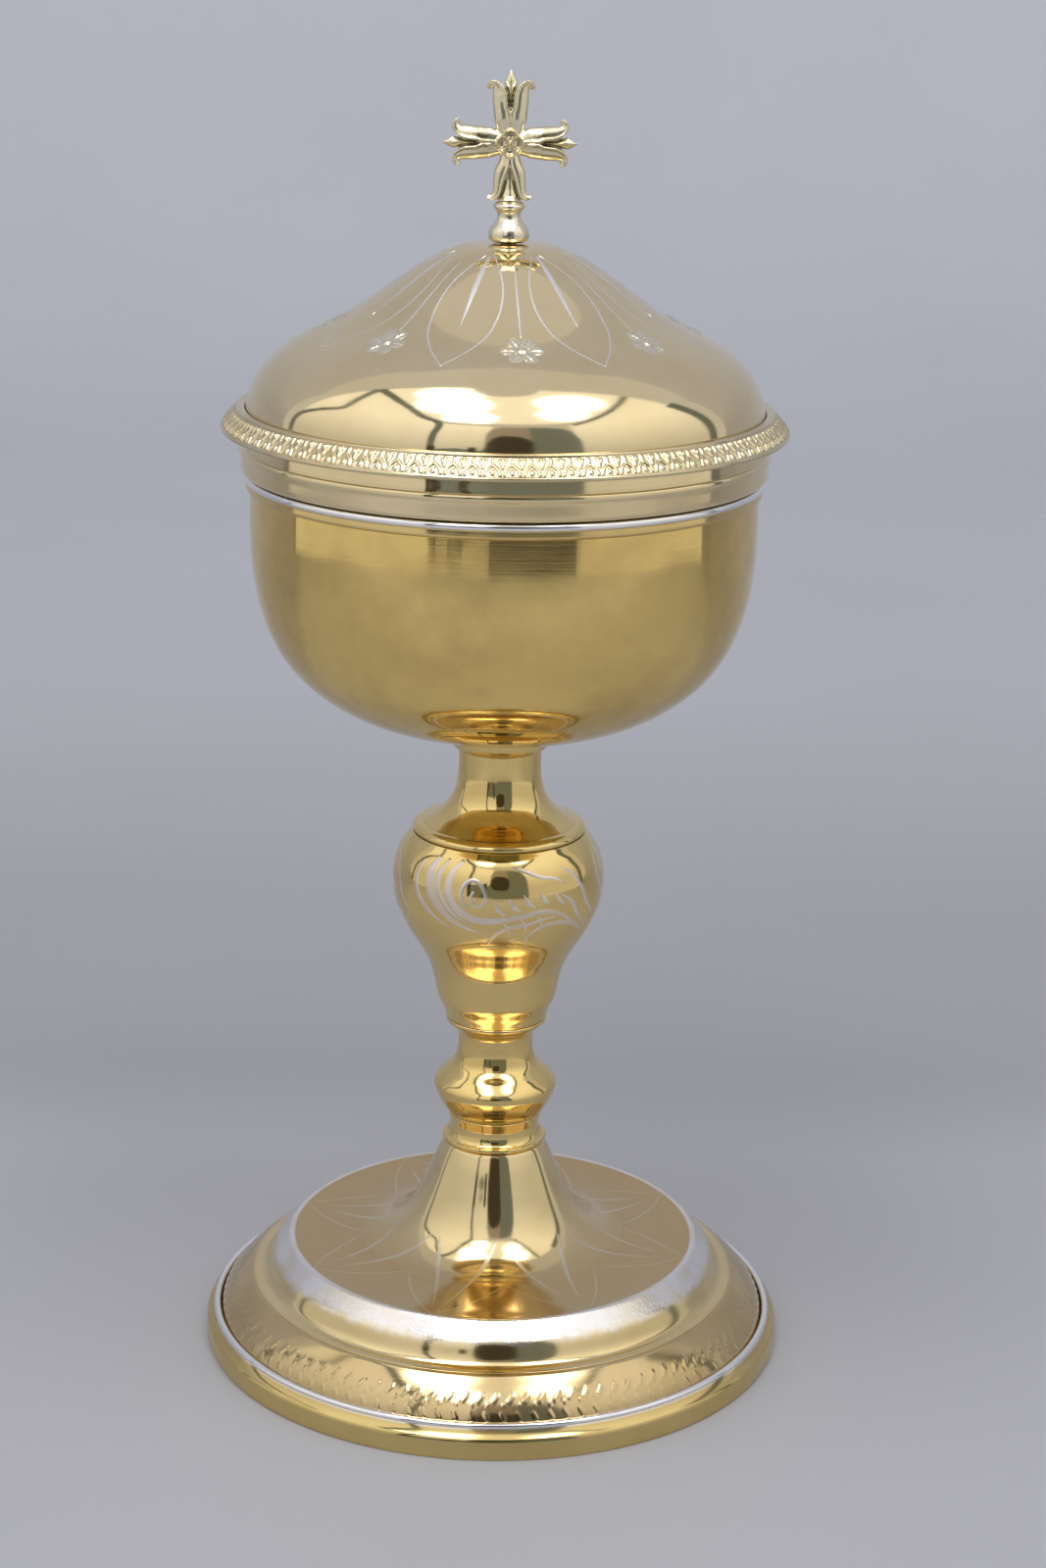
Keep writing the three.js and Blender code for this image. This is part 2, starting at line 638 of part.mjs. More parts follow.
// A bulge, a neck and a ring, with a blind hole for the stud.
function finialBaluster() {
  const bulgeTop = balusterBottom + BALUSTER_BULGE_HEIGHT;
  const ringBottom = balusterTop - BALUSTER_RING_HEIGHT;
  const neckMiddle = (bulgeTop + ringBottom) / 2;
  const bore = STUD_RADIUS + BORE_GAP;
  const roof = balusterBottom + STUD_DEPTH;
  const swell = BALUSTER_BULGE_RADIUS * 1.16;
  const path = outlineFrom(0, roof);
  path.lineTo(bore, roof);
  path.lineTo(bore, balusterBottom);
  path.lineTo(BALUSTER_FOOT_RADIUS, balusterBottom);
  path.bezierCurveTo(
    swell,
    balusterBottom + BALUSTER_BULGE_HEIGHT * 0.15,
    swell,
    bulgeTop - BALUSTER_BULGE_HEIGHT * 0.2,
    BALUSTER_NECK_RADIUS,
    bulgeTop,
  );
  path.lineTo(BALUSTER_NECK_RADIUS, neckMiddle);
  path.lineTo(BALUSTER_RING_RADIUS, ringBottom + BALUSTER_RING_HEIGHT / 4);
  path.lineTo(BALUSTER_RING_RADIUS, balusterTop - BALUSTER_RING_HEIGHT / 4);
  path.lineTo(BALUSTER_NECK_RADIUS, balusterTop);
  path.lineTo(0, balusterTop);
  return turned(path.getPoints(CURVE_STEPS), SMALL_SIDES);
}

// A leaf-like body along a curve in the XZ plane. Half widths and half depths go with
// the stations, and both ends close on a point.
function leafBody(curve, halfWidths, halfDepths, sides) {
  const stations = halfWidths.length;
  const depthAxis = new THREE.Vector3(0, 1, 0);
  const positions = [];
  for (let i = 0; i < stations; i += 1) {
    const t = (i + 0.5) / stations;
    const middle = curve.getPoint(t);
    const across = curve.getTangent(t).cross(depthAxis).normalize();
    for (let k = 0; k < sides; k += 1) {
      const angle = (k / sides) * Math.PI * 2;
      const p = middle.clone();
      p.addScaledVector(across, halfWidths[i] * Math.cos(angle));
      p.addScaledVector(depthAxis, halfDepths[i] * Math.sin(angle));
      positions.push(p.x, p.y, p.z);
    }
  }
  const index = [];
  for (let i = 0; i + 1 < stations; i += 1) {
    for (let k = 0; k < sides; k += 1) {
      const next = (k + 1) % sides;
      const a = i * sides + k;
      const b = i * sides + next;
      const c = (i + 1) * sides + next;
      const d = (i + 1) * sides + k;
      index.push(a, c, b, a, d, c);
    }
  }
  const first = positions.length / 3;
  const last = first + 1;
  positions.push(...curve.getPoint(0).toArray(), ...curve.getPoint(1).toArray());
  const lastRing = (stations - 1) * sides;
  for (let k = 0; k < sides; k += 1) {
    const next = (k + 1) % sides;
    index.push(first, k, next, last, lastRing + next, lastRing + k);
  }
  const geometry = new THREE.BufferGeometry();
  geometry.setAttribute('position', new THREE.Float32BufferAttribute(positions, 3));
  geometry.setIndex(index);
  return geometry;
}

// One lily petal of an arm that points up: it rises, spreads and curls out at its tip.
function lilyPetal(length, side) {
  const at = (x, z) => new THREE.Vector3(side * x, 0, z);
  const curl = length * 0.8;
  const curve = new THREE.CubicBezierCurve3(
    at(0.5, length * 0.13),
    at(length * 0.11, length * 0.44),
    at(length * 0.07, length * 0.98),
    at(length * 0.31, curl),
  );
  const widths = [0.6, 0.95, 1, 0.85, 0.6, 0.42].map((w) => w * PETAL_HALF_WIDTH);
  const depths = [0.75, 0.95, 1, 0.9, 0.7, 0.45].map((d) => d * CROSS_HALF_DEPTH);
  return leafBody(curve, widths, depths, 6);
}

// The bud between two petals, on a thin stalk from the middle of the cross.
function lilyBud(length) {
  const curve = new THREE.LineCurve3(
    new THREE.Vector3(0, 0, length * 0.1),
    new THREE.Vector3(0, 0, length),
  );
  const widths = [0.5, 0.4, 0.4, 0.75, 1, 0.6].map((w) => w * BUD_HALF_WIDTH);
  const depths = [0.6, 0.6, 0.6, 0.8, 0.9, 0.5].map((d) => d * BUD_HALF_WIDTH);
  return leafBody(curve, widths, depths, 6);
}

function solidFrom(geometry) {
  const bare = new THREE.BufferGeometry();
  bare.setAttribute('position', geometry.getAttribute('position').clone());
  bare.setIndex(geometry.index);
  const merged = mergeVertices(bare, 1e-4);
  const mesh = new wasm.Mesh({
    numProp: 3,
    vertProperties: new Float32Array(merged.attributes.position.array),
    triVerts: new Uint32Array(merged.index.array),
  });
  return new wasm.Manifold(mesh);
}

function geometryFrom(solid) {
  const mesh = solid.getMesh();
  const geometry = new THREE.BufferGeometry();
  geometry.setAttribute('position', new THREE.BufferAttribute(mesh.vertProperties, 3));
  geometry.setIndex(new THREE.BufferAttribute(mesh.triVerts, 1));
  geometry.computeVertexNormals();
  return geometry;
}

function joined(geometries) {
  return geometryFrom(geometries.map(solidFrom).reduce((whole, next) => whole.add(next)));
}

// An arm is two petals with a bud between them, turned about the cross's middle.
function crossArm(length, turn, withBud) {
  const pieces = [lilyPetal(length, 1), lilyPetal(length, -1)];
  if (withBud) pieces.push(lilyBud(length));
  return pieces.map((piece) => piece.rotateY(turn));
}

function rosettePetals(face) {
  const petals = [];
  for (let i = 0; i < 4; i += 1) {
    const petal = new THREE.SphereGeometry(ROSETTE_PETAL_RADIUS, 6, 4);
    const angle = (i / 4) * Math.PI * 2;
    petal.scale(1, ROSETTE_HEIGHT / ROSETTE_PETAL_RADIUS, 1);
    petal.translate(
      ROSETTE_RING_RADIUS * Math.cos(angle),
      face * CROSS_HALF_DEPTH,
      ROSETTE_RING_RADIUS * Math.sin(angle),
    );
    petals.push(petal);
  }
  return petals;
}

// Four lily arms round a rosette, cast in one with the stalk that stands on the baluster.
function cross() {
  const core = new THREE.SphereGeometry(ROSETTE_RING_RADIUS, 8, 6);
  core.scale(1, CROSS_HALF_DEPTH / ROSETTE_RING_RADIUS, 1);
  const stalkTop = crossMiddle - crossBottom;
  const stalk = turned(
    [
      point(0, -stalkTop),
      point(BALUSTER_NECK_RADIUS, -stalkTop),
      point(STALK_RADIUS, -stalkTop + BALUSTER_RING_HEIGHT * 1.6),
      point(STALK_RADIUS, 0),
      point(0, 0),
    ],
    8,
  );
  const pieces = [
    core,
    stalk,
    ...crossArm(CROSS_TOP_ARM, 0, true),
    ...crossArm(CROSS_SIDE_ARM, Math.PI / 2, true),
    ...crossArm(CROSS_LOWER_ARM, Math.PI, false),
    ...crossArm(CROSS_SIDE_ARM, -Math.PI / 2, true),
    ...rosettePetals(-1),
    ...rosettePetals(1),
  ];
  return joined(pieces).translate(0, 0, crossMiddle);
}

const ciborium = new THREE.Group();
const stand = new THREE.Group();
const lid = new THREE.Group();
ciborium.add(stand, lid);

function add(group, name, geometry, material) {
  const mesh = new THREE.Mesh(geometry, material);
  mesh.name = name;
  group.add(mesh);
}

add(stand, 'foot_base_ring', footBaseRing(), yellowGold);
add(stand, 'foot_border', footBorder(), paleGold);
add(stand, 'foot_shell', footShell(), paleGold);
add(stand, 'foot_washer', footWasher(), plainBrass);
add(stand, 'foot_nut', footNut(), plainBrass);
add(stand, 'tie_rod', tieRod(), plainBrass);
add(stand, 'lower_collar', lowerCollar(), yellowGold);
add(stand, 'lower_knop', lowerKnop(), yellowGold);
add(stand, 'knop_foot_ring', knopFootRing(), yellowGold);
add(stand, 'knop', knop(), yellowGold);
add(stand, 'knop_top_ring', knopTopRing(), yellowGold);
add(stand, 'neck', neck(), yellowGold);
add(stand, 'cup_socket', cupSocket(), plainBrass);
add(stand, 'cup', cup(), yellowGold);
add(stand, 'cup_bead', cupBead(), silveryGold);
add(lid, 'lid_skirt', lidSkirt(), paleGold);
add(lid, 'lid_border', lidBorder(), silveryGold);
add(lid, 'lid_dome', lidDome(), paleGold);
add(lid, 'finial_washer', finialWasher(), plainBrass);
add(lid, 'finial_nut', finialNut(), plainBrass);
add(lid, 'finial_stud', finialStud(), plainBrass);
add(lid, 'finial_baluster', finialBaluster(), silveryGold);
add(lid, 'finial_cross', cross(), silveryGold);

export default ciborium;
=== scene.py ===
import math

import bpy
import numpy as np
from mathutils import Matrix, Vector
from mathutils.bvhtree import BVHTree


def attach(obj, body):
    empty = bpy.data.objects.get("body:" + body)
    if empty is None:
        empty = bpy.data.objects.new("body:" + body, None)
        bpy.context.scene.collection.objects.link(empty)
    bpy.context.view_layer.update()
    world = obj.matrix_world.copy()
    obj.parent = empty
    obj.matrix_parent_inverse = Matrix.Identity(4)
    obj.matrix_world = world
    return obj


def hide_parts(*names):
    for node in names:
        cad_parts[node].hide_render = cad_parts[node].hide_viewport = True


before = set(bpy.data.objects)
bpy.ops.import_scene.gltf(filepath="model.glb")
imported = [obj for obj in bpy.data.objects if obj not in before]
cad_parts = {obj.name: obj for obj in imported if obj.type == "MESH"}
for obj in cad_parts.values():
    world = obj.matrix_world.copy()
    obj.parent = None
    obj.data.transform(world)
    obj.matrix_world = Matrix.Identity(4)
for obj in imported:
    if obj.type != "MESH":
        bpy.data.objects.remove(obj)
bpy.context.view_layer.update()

MM = 0.001
TAU = 2 * math.pi


# Camera and studio, in metres and degrees

CAMERA_PLACE = Vector((0.00507, -0.6388, 0.3196))
CAMERA_LOOKS_DOWN = 16.62
CAMERA_ROLL = math.degrees(0.0185)
CAMERA_LENS = 70.24
SENSOR_WIDTH = 36


def make_camera():
    data = bpy.data.cameras.new("camera")
    data.sensor_width = SENSOR_WIDTH
    data.lens = CAMERA_LENS
    data.clip_start = 0.01
    data.clip_end = 50
    camera = bpy.data.objects.new("camera", data)
    pitch = Matrix.Rotation(math.radians(90 - CAMERA_LOOKS_DOWN), 4, "X")
    roll = Matrix.Rotation(math.radians(CAMERA_ROLL), 4, "Z")
    camera.matrix_world = Matrix.Translation(CAMERA_PLACE) @ pitch @ roll
    bpy.context.scene.collection.objects.link(camera)
    bpy.context.scene.camera = camera


def new_object(name, vertices, faces):
    """A smoothly shaded mesh object in the scene."""
    mesh = bpy.data.meshes.new(name)
    mesh.from_pydata([tuple(v) for v in vertices], [], faces)
    mesh.update()
    mesh.shade_smooth()
    thing = bpy.data.objects.new(name, mesh)
    bpy.context.scene.collection.objects.link(thing)
    return thing


def stage_mesh(name, vertices, faces, material, seen=False, shades=True):
    """A part of the studio. Unless it is seen, it shows in the metal alone."""
    thing = new_object(name, vertices, faces)
    thing.data.materials.append(material)
    thing.visible_camera = seen
    thing.visible_diffuse = shades
    thing.visible_shadow = shades


def grid_faces(rows, columns):
    """The faces between vertices that are laid row by row."""
    starts = [row * columns + i for row in range(rows - 1) for i in range(columns - 1)]
    return [(i, i + 1, i + columns + 1, i + columns) for i in starts]


ROOM_TONE = (0.60, 0.61, 0.66)


def make_studio():
    scene = bpy.context.scene
    scene.view_settings.view_transform = "Standard"
    world = bpy.data.worlds.new("studio")
    scene.world = world
    world.use_nodes = True
    background = world.node_tree.nodes["Background"]
    background.inputs["Color"].default_value = (*ROOM_TONE, 1)
    make_backdrop()
    make_tent()
    make_card()


# The light tent stands round the camera's side of the object. A place on it is an azimuth, 0 at the
# camera and growing to the left, and an elevation, both in degrees as seen from the object.
TENT_MIDDLE = np.array([0.0, 0.0, 0.2])
TENT_REACH = 1.15
FRAME_REACH = 1.12
CARD_REACH = 1.0
TENT_RIGHT, TENT_LEFT = -97, 103
TENT_GAP = (-32, 6)  # between these azimuths the camera looks in
TENT_FOOT, TENT_TOP = -22, 82
SHEET_COLUMNS, SHEET_ROWS = 61, 17
STRIP_STEP = 0.02
LEFT_SEAM = [(32, 42), (45, 47), (60, 53.5), (85, 57), (103, 56)]
RIGHT_SEAM = [(-97, 58), (-75, 54.5), (-60, 50), (-45, 45), (-34, 42)]
TOP_SEAM = [*RIGHT_SEAM, (-25, 42), (0, 43), (20, 42.5), *LEFT_SEAM]
ROOF_OVERLAP = 3  # how far above the seam the roof cloth starts


def tent_place(azimuth, elevation, reach):
    a, e = np.radians(azimuth), np.radians(elevation)
    away = np.stack([-np.sin(a) * np.cos(e), -np.cos(a) * np.cos(e), np.sin(e)], -1)
    return TENT_MIDDLE + away * reach


def tent_sheet(name, lower, upper, reach, material):
    """A curved sheet between two lines of (azimuth, elevation) places with rising azimuths."""
    azimuth = np.linspace(lower[0][0], lower[-1][0], SHEET_COLUMNS)
    low, high = np.interp(azimuth, *zip(*lower)), np.interp(azimuth, *zip(*upper))
    share = np.linspace(0, 1, SHEET_ROWS)[:, None]
    elevation = low + (high - low) * share
    places = tent_place(np.broadcast_to(azimuth, elevation.shape), elevation, reach)
    stage_mesh(name, places.reshape(-1, 3), grid_faces(SHEET_ROWS, SHEET_COLUMNS), material)


def tent_strip(name, line, half_width, reach, material):
    """A narrow strip along a line of (azimuth, elevation) places."""
    places = spline(tent_place(*np.array(line, float).T, reach), STRIP_STEP)
    along = np.gradient(places, axis=0)
    across = unit(np.cross(places - TENT_MIDDLE, along)) * math.radians(half_width) * reach
    stage_mesh(name, np.vstack([places - across, places + across]), grid_faces(2, len(places)), material)


def glow(name, color, strength):
    """A plain glowing cloth."""
    m = Nodes(name)
    m.set("Roughness", 1.0)
    return m.lit(color, strength)


GLOW_STARTS, GLOW_ENDS = 0.30, 0.95  # heights between which the side cloth grows brighter


def rising_glow(name, low, high):
    """Glowing cloth that grows brighter towards its top."""
    m = Nodes(name)
    split = m.add("ShaderNodeSeparateXYZ", {0: m.add("ShaderNodeTexCoord").outputs["Object"]})
    return m.lit((1.0, 0.99, 0.97), m.ramp(split.outputs[2], GLOW_STARTS, GLOW_ENDS, low, high))


# Each lamp behind the roof cloth: its azimuth, elevation, radius and strength.
LAMPS = [(20, 52, 0.24, 5.5), (42, 66, 0.30, 5.5), (70, 74, 0.25, 4.0),
         (-36, 56, 0.22, 5.5), (-56, 67, 0.27, 5.0)]
LAMP_CORE = 0.55  # the share of a lamp's radius that is evenly bright


def lamp_glow(name, base):
    """Glowing cloth with lamps behind it."""
    m = Nodes(name)
    place = m.add("ShaderNodeTexCoord").outputs["Object"]
    total = base
    for azimuth, elevation, radius, strength in LAMPS:
        spot = tuple(tent_place(azimuth, elevation, TENT_REACH))
        apart = m.add("ShaderNodeVectorMath", {0: place, 1: spot}, operation="DISTANCE").outputs[1]
        values = {"Value": apart, "From Min": radius * LAMP_CORE, "From Max": radius,
                  "To Min": strength, "To Max": 0.0}
        shine = m.add("ShaderNodeMapRange", values, interpolation_type="SMOOTHSTEP").outputs[0]
        total = m.math("MAXIMUM", total, shine)
    return m.lit((1, 1, 1), total)


# The half width of each rod of the tent's frame, and its line.
TENT_FRAME = {
    "left_frame": (1.5, [(31, -8), (31.5, 10), (32, 25), (33, 41), (45, 47), (60, 54), (85, 58.5),
                         (104, 58)]),
    "left_post": (1.4, [(103, -22), (104, 0), (103, 16), (96, 27), (88, 36), (92, 46), (103, 57)]),
    "right_frame": (1.0, [(-34, 41), (-45, 45.5), (-60, 51), (-75, 55.5), (-97, 59)]),
    "right_post": (2.6, [(-100, -22), (-100.5, 0), (-101, 16), (-99, 32), (-98, 42)]),
}


def make_tent():
    side = rising_glow("side_cloth", 0.60, 1.10)
    right_edge, left_edge = TENT_GAP
    sheets = [
        ("left_cloth", (left_edge, TENT_LEFT), [(left_edge, 42.5), (20, 42.5), *LEFT_SEAM]),
        ("right_cloth", (TENT_RIGHT, right_edge), [*RIGHT_SEAM, (right_edge, 42)]),
    ]
    for name, ends, seam in sheets:
        tent_sheet(name, [(azimuth, TENT_FOOT) for azimuth in ends], seam, TENT_REACH, side)
    for name, ends, _ in sheets:
        table_sheet(name.replace("cloth", "table_cloth"), ends, TABLE_CLOTH, side)
    above = [(azimuth, elevation + ROOF_OVERLAP) for azimuth, elevation in TOP_SEAM]
    tent_sheet("roof_cloth", above, [(TENT_RIGHT, TENT_TOP), (TENT_LEFT, TENT_TOP)], TENT_REACH,
               lamp_glow("roof_cloth", 1.10))
    frame_tone = glow("tent_frame", (0.8, 0.95, 1.0), 0.16)
    for name, (half_width, line) in TENT_FRAME.items():
        tent_strip(name, line, half_width, FRAME_REACH, frame_tone)


# How near and how far from the object's axis the rings on the table lie.
TABLE_CLOTH = (0.87, 1.3)
# where the painted shadow ring along the table's edge lies
TABLE_EDGE_SHADOW = (0.90, 1.04)
TABLE_LIFT = 0.002
TABLE_STEPS = 41


def table_sheet(name, azimuths, reaches, material):
    """A part of a ring that lies a hair above the table and shows in the metal alone."""
    turns = np.radians(np.linspace(*azimuths, TABLE_STEPS))
    rim = np.column_stack([-np.sin(turns), -np.cos(turns), np.zeros(TABLE_STEPS)])
    vertices = np.vstack([rim * reach for reach in reaches]) + (0, 0, TABLE_LIFT)
    stage_mesh(name, vertices, grid_faces(2, TABLE_STEPS), material, shades=False)


CARD_FOOT = -12
CARD_LAYER = 0.005  # how far each sheet of the card lies behind the one before it
STAND = [(31, 12), (31, 0), (29, -9), (24, -14), (18, -13), (14.5, -6), (13.5, 4), (13, 13)]


def make_card():
    """The dim card behind the camera, a dark sheet of painted shadow along the table's edge in front of it,
    and a stand beside it.
    """
    dark = glow("card_dark", (1.0, 0.85, 0.6), 0.05)
    dim = glow("card_dim", (0.85, 1.0, 1.05), 0.2)
    mid = glow("card_mid", (1.0, 0.9, 0.85), 0.34)
    sheets = [
        ("card_middle", [(-13, 10), (-11, 4), (-6, 2), (3, 3), (8, 9)],
         [(-13, 19), (-11, 25), (-6, 29), (1, 29.5), (5, 26), (8, 17)], dark),
        ("card_foot", [(-14, CARD_FOOT), (9, CARD_FOOT)], [(-14, 12), (9, 12)], dim),
        ("card_right", [(-33, CARD_FOOT), (-12, CARD_FOOT)],
         [(-33, 22), (-31, 33), (-27, 38), (-20, 40), (-12, 41)], dim),
        ("card_top", [(-13, 10), (8, 10)], [(-13, 41), (2, 41), (6, 38), (8, 31)], mid),
        ("card_left", [(9, CARD_FOOT), (31, CARD_FOOT)], [(9, 9), (20, 11), (31, 8)], dim),
    ]
    for layer, (name, lower, upper, tone) in enumerate(sheets):
        tent_sheet(name, lower, upper, CARD_REACH + CARD_LAYER * layer, tone)
    tent_strip("card_left_edge", [(31.5, CARD_FOOT), (31.5, 6)], 0.9, CARD_REACH + 2 * CARD_LAYER, dark)
    tent_strip("stand", STAND, 1.7, CARD_REACH, dark)
    # painted shadow: a near-black ring on the table, seen only in the metal, for the shadow along the table's
    # edge
    table_sheet("table_edge_shadow", (-34, 32), TABLE_EDGE_SHADOW, glow("table_edge_shadow", (1.0, 0.8, 0.5), 0.02))


# The floor runs from its front edge to the sweep, which turns up into the wall.
FLOOR_FRONT = -5.0
FLOOR_HALF_WIDTH = 4.0
SWEEP_START = 1.1
SWEEP_RADIUS = 0.5
SWEEP_STEPS = 12
WALL_TOP = 3.5


def make_backdrop():
    """A pale floor that sweeps up into a wall behind the object."""
    line = [(FLOOR_FRONT, 0.0), (SWEEP_START, 0.0)]
    for i in range(1, SWEEP_STEPS + 1):
        angle = math.radians(90 * i / SWEEP_STEPS)
        rise = SWEEP_RADIUS - SWEEP_RADIUS * math.cos(angle)
        line.append((SWEEP_START + SWEEP_RADIUS * math.sin(angle), rise))
    line.append((SWEEP_START + SWEEP_RADIUS, WALL_TOP))
    vertices = [(x, y, z) for x in (-FLOOR_HALF_WIDTH, FLOOR_HALF_WIDTH) for y, z in line]
    stage_mesh("floor", vertices, flipped(grid_faces(2, len(line))), backdrop_material(), True)


# The backdrop's tone at each distance along it, which is measured as depth plus height: painted shade,
# darkest just behind the object, and painted light growing up the wall.
BACKDROP_PAINTED_LIGHT_AND_SHADE = [(-0.45, 0.58), (-0.16, 0.42), (0.10, 0.40), (0.15, 0.33), (0.30, 0.36),
                  (0.60, 0.50), (0.85, 0.55), (1.6, 0.64), (3.0, 0.85)]
BACKDROP_RANGE = (-0.6, 3.2)
BACKDROP_TINT = (0.98, 0.99, 1.06)
CLOUDS = (5, 3, 0.5)
CLOUD_CONTRAST = 0.10


def backdrop_material():
    """Plain grey with painted shade that is darkest just behind the object and painted light that grows
    lighter up the wall.
    """
    m = Nodes("backdrop")
    place = m.add("ShaderNodeTexCoord").outputs["Object"]
    _, depth, height = m.add("ShaderNodeSeparateXYZ", {0: place}).outputs
    cloud = m.math("MULTIPLY", m.math("SUBTRACT", m.noise(place, *CLOUDS), 0.5), CLOUD_CONTRAST)
    # painted light and shade: the grey darkens round and just behind the object and lightens up the wall
    painted_shading = m.add("ShaderNodeValToRGB", {0: m.ramp(m.math("ADD", depth, height), *BACKDROP_RANGE)})
    start, end = BACKDROP_RANGE
    ramp = painted_shading.color_ramp
    while len(ramp.elements) < len(BACKDROP_PAINTED_LIGHT_AND_SHADE):
        ramp.elements.new(0.5)
    for element, (reach, tone) in zip(ramp.elements, BACKDROP_PAINTED_LIGHT_AND_SHADE):
        element.position = (reach - start) / (end - start)
        element.color = (*[tone * tint for tint in BACKDROP_TINT], 1)
    values = {0: painted_shading.outputs[0], "Scale": m.math("ADD", cloud, 1.0)}
    m.set("Base Color", m.add("ShaderNodeVectorMath", values, operation="SCALE").outputs[0])
    m.set("Roughness", 0.5)
    return m.material


# Materials. Colours are linear red, green and blue.

class Nodes:
    """A short way to wire a material's nodes."""

    def __init__(self, name):
        self.material = bpy.data.materials.new(name)
        self.material.use_nodes = True
        self.tree = self.material.node_tree
        self.shader = self.tree.nodes["Principled BSDF"]

    def add(self, kind, values=(), **settings):
        node = self.tree.nodes.new(kind)
        for key, value in settings.items():
            setattr(node, key, value)
        for key, value in dict(values).items():
            self.plug(value, node.inputs[key])
        return node

    def plug(self, value, socket):
        if isinstance(value, bpy.types.NodeSocket):
            self.tree.links.new(value, socket)
        else:
            socket.default_value = (*value, 1) if socket.type == "RGBA" else value

    def math(self, operation, a, b=0.0, clamp=False):
        values = {0: a, 1: b}
        return self.add("ShaderNodeMath", values, operation=operation, use_clamp=clamp).outputs[0]

    def noise(self, vector, scale, detail, roughness):
        values = {"Vector": vector, "Scale": scale, "Detail": detail, "Roughness": roughness}
        return self.add("ShaderNodeTexNoise", values).outputs[0]

    def ramp(self, value, low, high, to_low=0.0, to_high=1.0):
        values = {"Value": value, "From Min": low, "From Max": high, "To Min": to_low, "To Max": to_high}
        return self.add("ShaderNodeMapRange", values).outputs[0]

    def mix(self, share, a, b):
        return self.add("ShaderNodeMix", {"Factor": share, 6: a, 7: b}, data_type="RGBA").outputs[2]

    def bump(self, height, strength, distance, normal=None):
        values = {"Height": height, "Strength": strength, "Distance": distance}
        if normal is not None:
            values["Normal"] = normal
        return self.add("ShaderNodeBump", values).outputs[0]

    def set(self, name, value):
        self.plug(value, self.shader.inputs[name])

    def lit(self, color, strength):
        """Makes the material glow and nothing more."""
        self.set("Base Color", (0, 0, 0))
        self.set("Emission Color", color)
        self.set("Emission Strength", strength)
        return self.material


# The scale, detail and roughness of each noise that the metal's surface is made from.
TURNING_LINES = (2600, 3, 0.7)
BROAD_STAINS = (34, 5, 0.6)
FINE_SPECKS = (210, 3, 0.6)
HAND_WAVES = (26, 2, 0.5)
RAGGED_EDGE = (420, 3, 0.75)
WORN_PATCHES = (160, 3, 0.6)
STIPPLE = (1500, 2, 0.6)

# How deep the bumps are, in metres.
WAVE_DEPTH = 0.0006
LINE_DEPTH = 0.00004
STIPPLE_DEPTH = 0.00012

WAVE_STRENGTH = 0.3
LINE_WANDER = 0.02  # how much the turning lines change from one side to the other
SPECK_SHARE = 0.35
PATINA_AND_PAINTED_SHADE = (0.10, 0.085, 0.045)
WORN_METAL = (0.92, 0.91, 0.92)
FROSTED_METAL = (0.88, 0.86, 0.87)
DULL_PLATE = (0.55, 0.39, 0.19)
DULL_SHARE = 0.85


def gilt_material(name, color, stain, roughness, lines, stains, hollows=None, frost=None, worn_above=None):
    """Polished gilt metal: fine turning lines round the axis, soft stains and a slight waviness.
    hollows names a mesh attribute of how shut in each place is, which darkens deep places with
    painted shade and patina. frost is the height and the radius, in millimetres, beyond which the
    metal is stippled matt. Above the height worn_above the gilding is worn down to silvery metal."""
    m = Nodes(name)
    place = m.add("ShaderNodeTexCoord").outputs["Object"]
    x, y, z = m.add("ShaderNodeSeparateXYZ", {0: place}).outputs
    radius = m.math("SQRT", m.math("ADD", m.math("MULTIPLY", x, x), m.math("MULTIPLY", y, y)))
    ring = m.add("ShaderNodeCombineXYZ", {0: radius, 1: m.math("MULTIPLY", x, LINE_WANDER), 2: z}).outputs[0]
    turning = m.noise(ring, *TURNING_LINES)
    broad = m.noise(place, *BROAD_STAINS)
    specks = m.math("MULTIPLY", m.noise(place, *FINE_SPECKS), SPECK_SHARE)
    stained = m.ramp(m.math("ADD", broad, specks), 0.62, 0.86, 0, stains)
    shade = m.mix(stained, color, stain)
    uneven = m.math("ADD", m.ramp(turning, 0.3, 0.7, -0.02 * lines, 0.05 * lines),
                    m.ramp(broad, 0.35, 0.7, -0.02, 0.05))
    rough = m.math("ADD", uneven, roughness, clamp=True)
    normal = m.bump(m.noise(place, *HAND_WAVES), WAVE_STRENGTH, WAVE_DEPTH)
    if lines:
        normal = m.bump(turning, 0.10 * lines, LINE_DEPTH, normal)
    if hollows:
        depth = m.add("ShaderNodeAttribute", attribute_name=hollows).outputs["Fac"]
        # painted shade and patina: darker where the rays find the vertex shut in
        shade = m.mix(m.ramp(depth, 0.38, 0.80), shade, PATINA_AND_PAINTED_SHADE)
        rough = m.math("ADD", rough, m.ramp(depth, 0.4, 0.8, 0, 0.3), clamp=True)
    if worn_above:
        worn = m.ramp(z, (worn_above - 0.3) * MM, (worn_above + 0.3) * MM)
        shade = m.mix(worn, shade, WORN_METAL)
    if frost:
        shade, rough, normal = frosted(m, place, z, radius, frost, shade, rough, normal)
    m.set("Base Color", shade)
    m.set("Metallic", 1.0)
    m.set("Roughness", rough)
    m.set("Normal", normal)
    return m.material


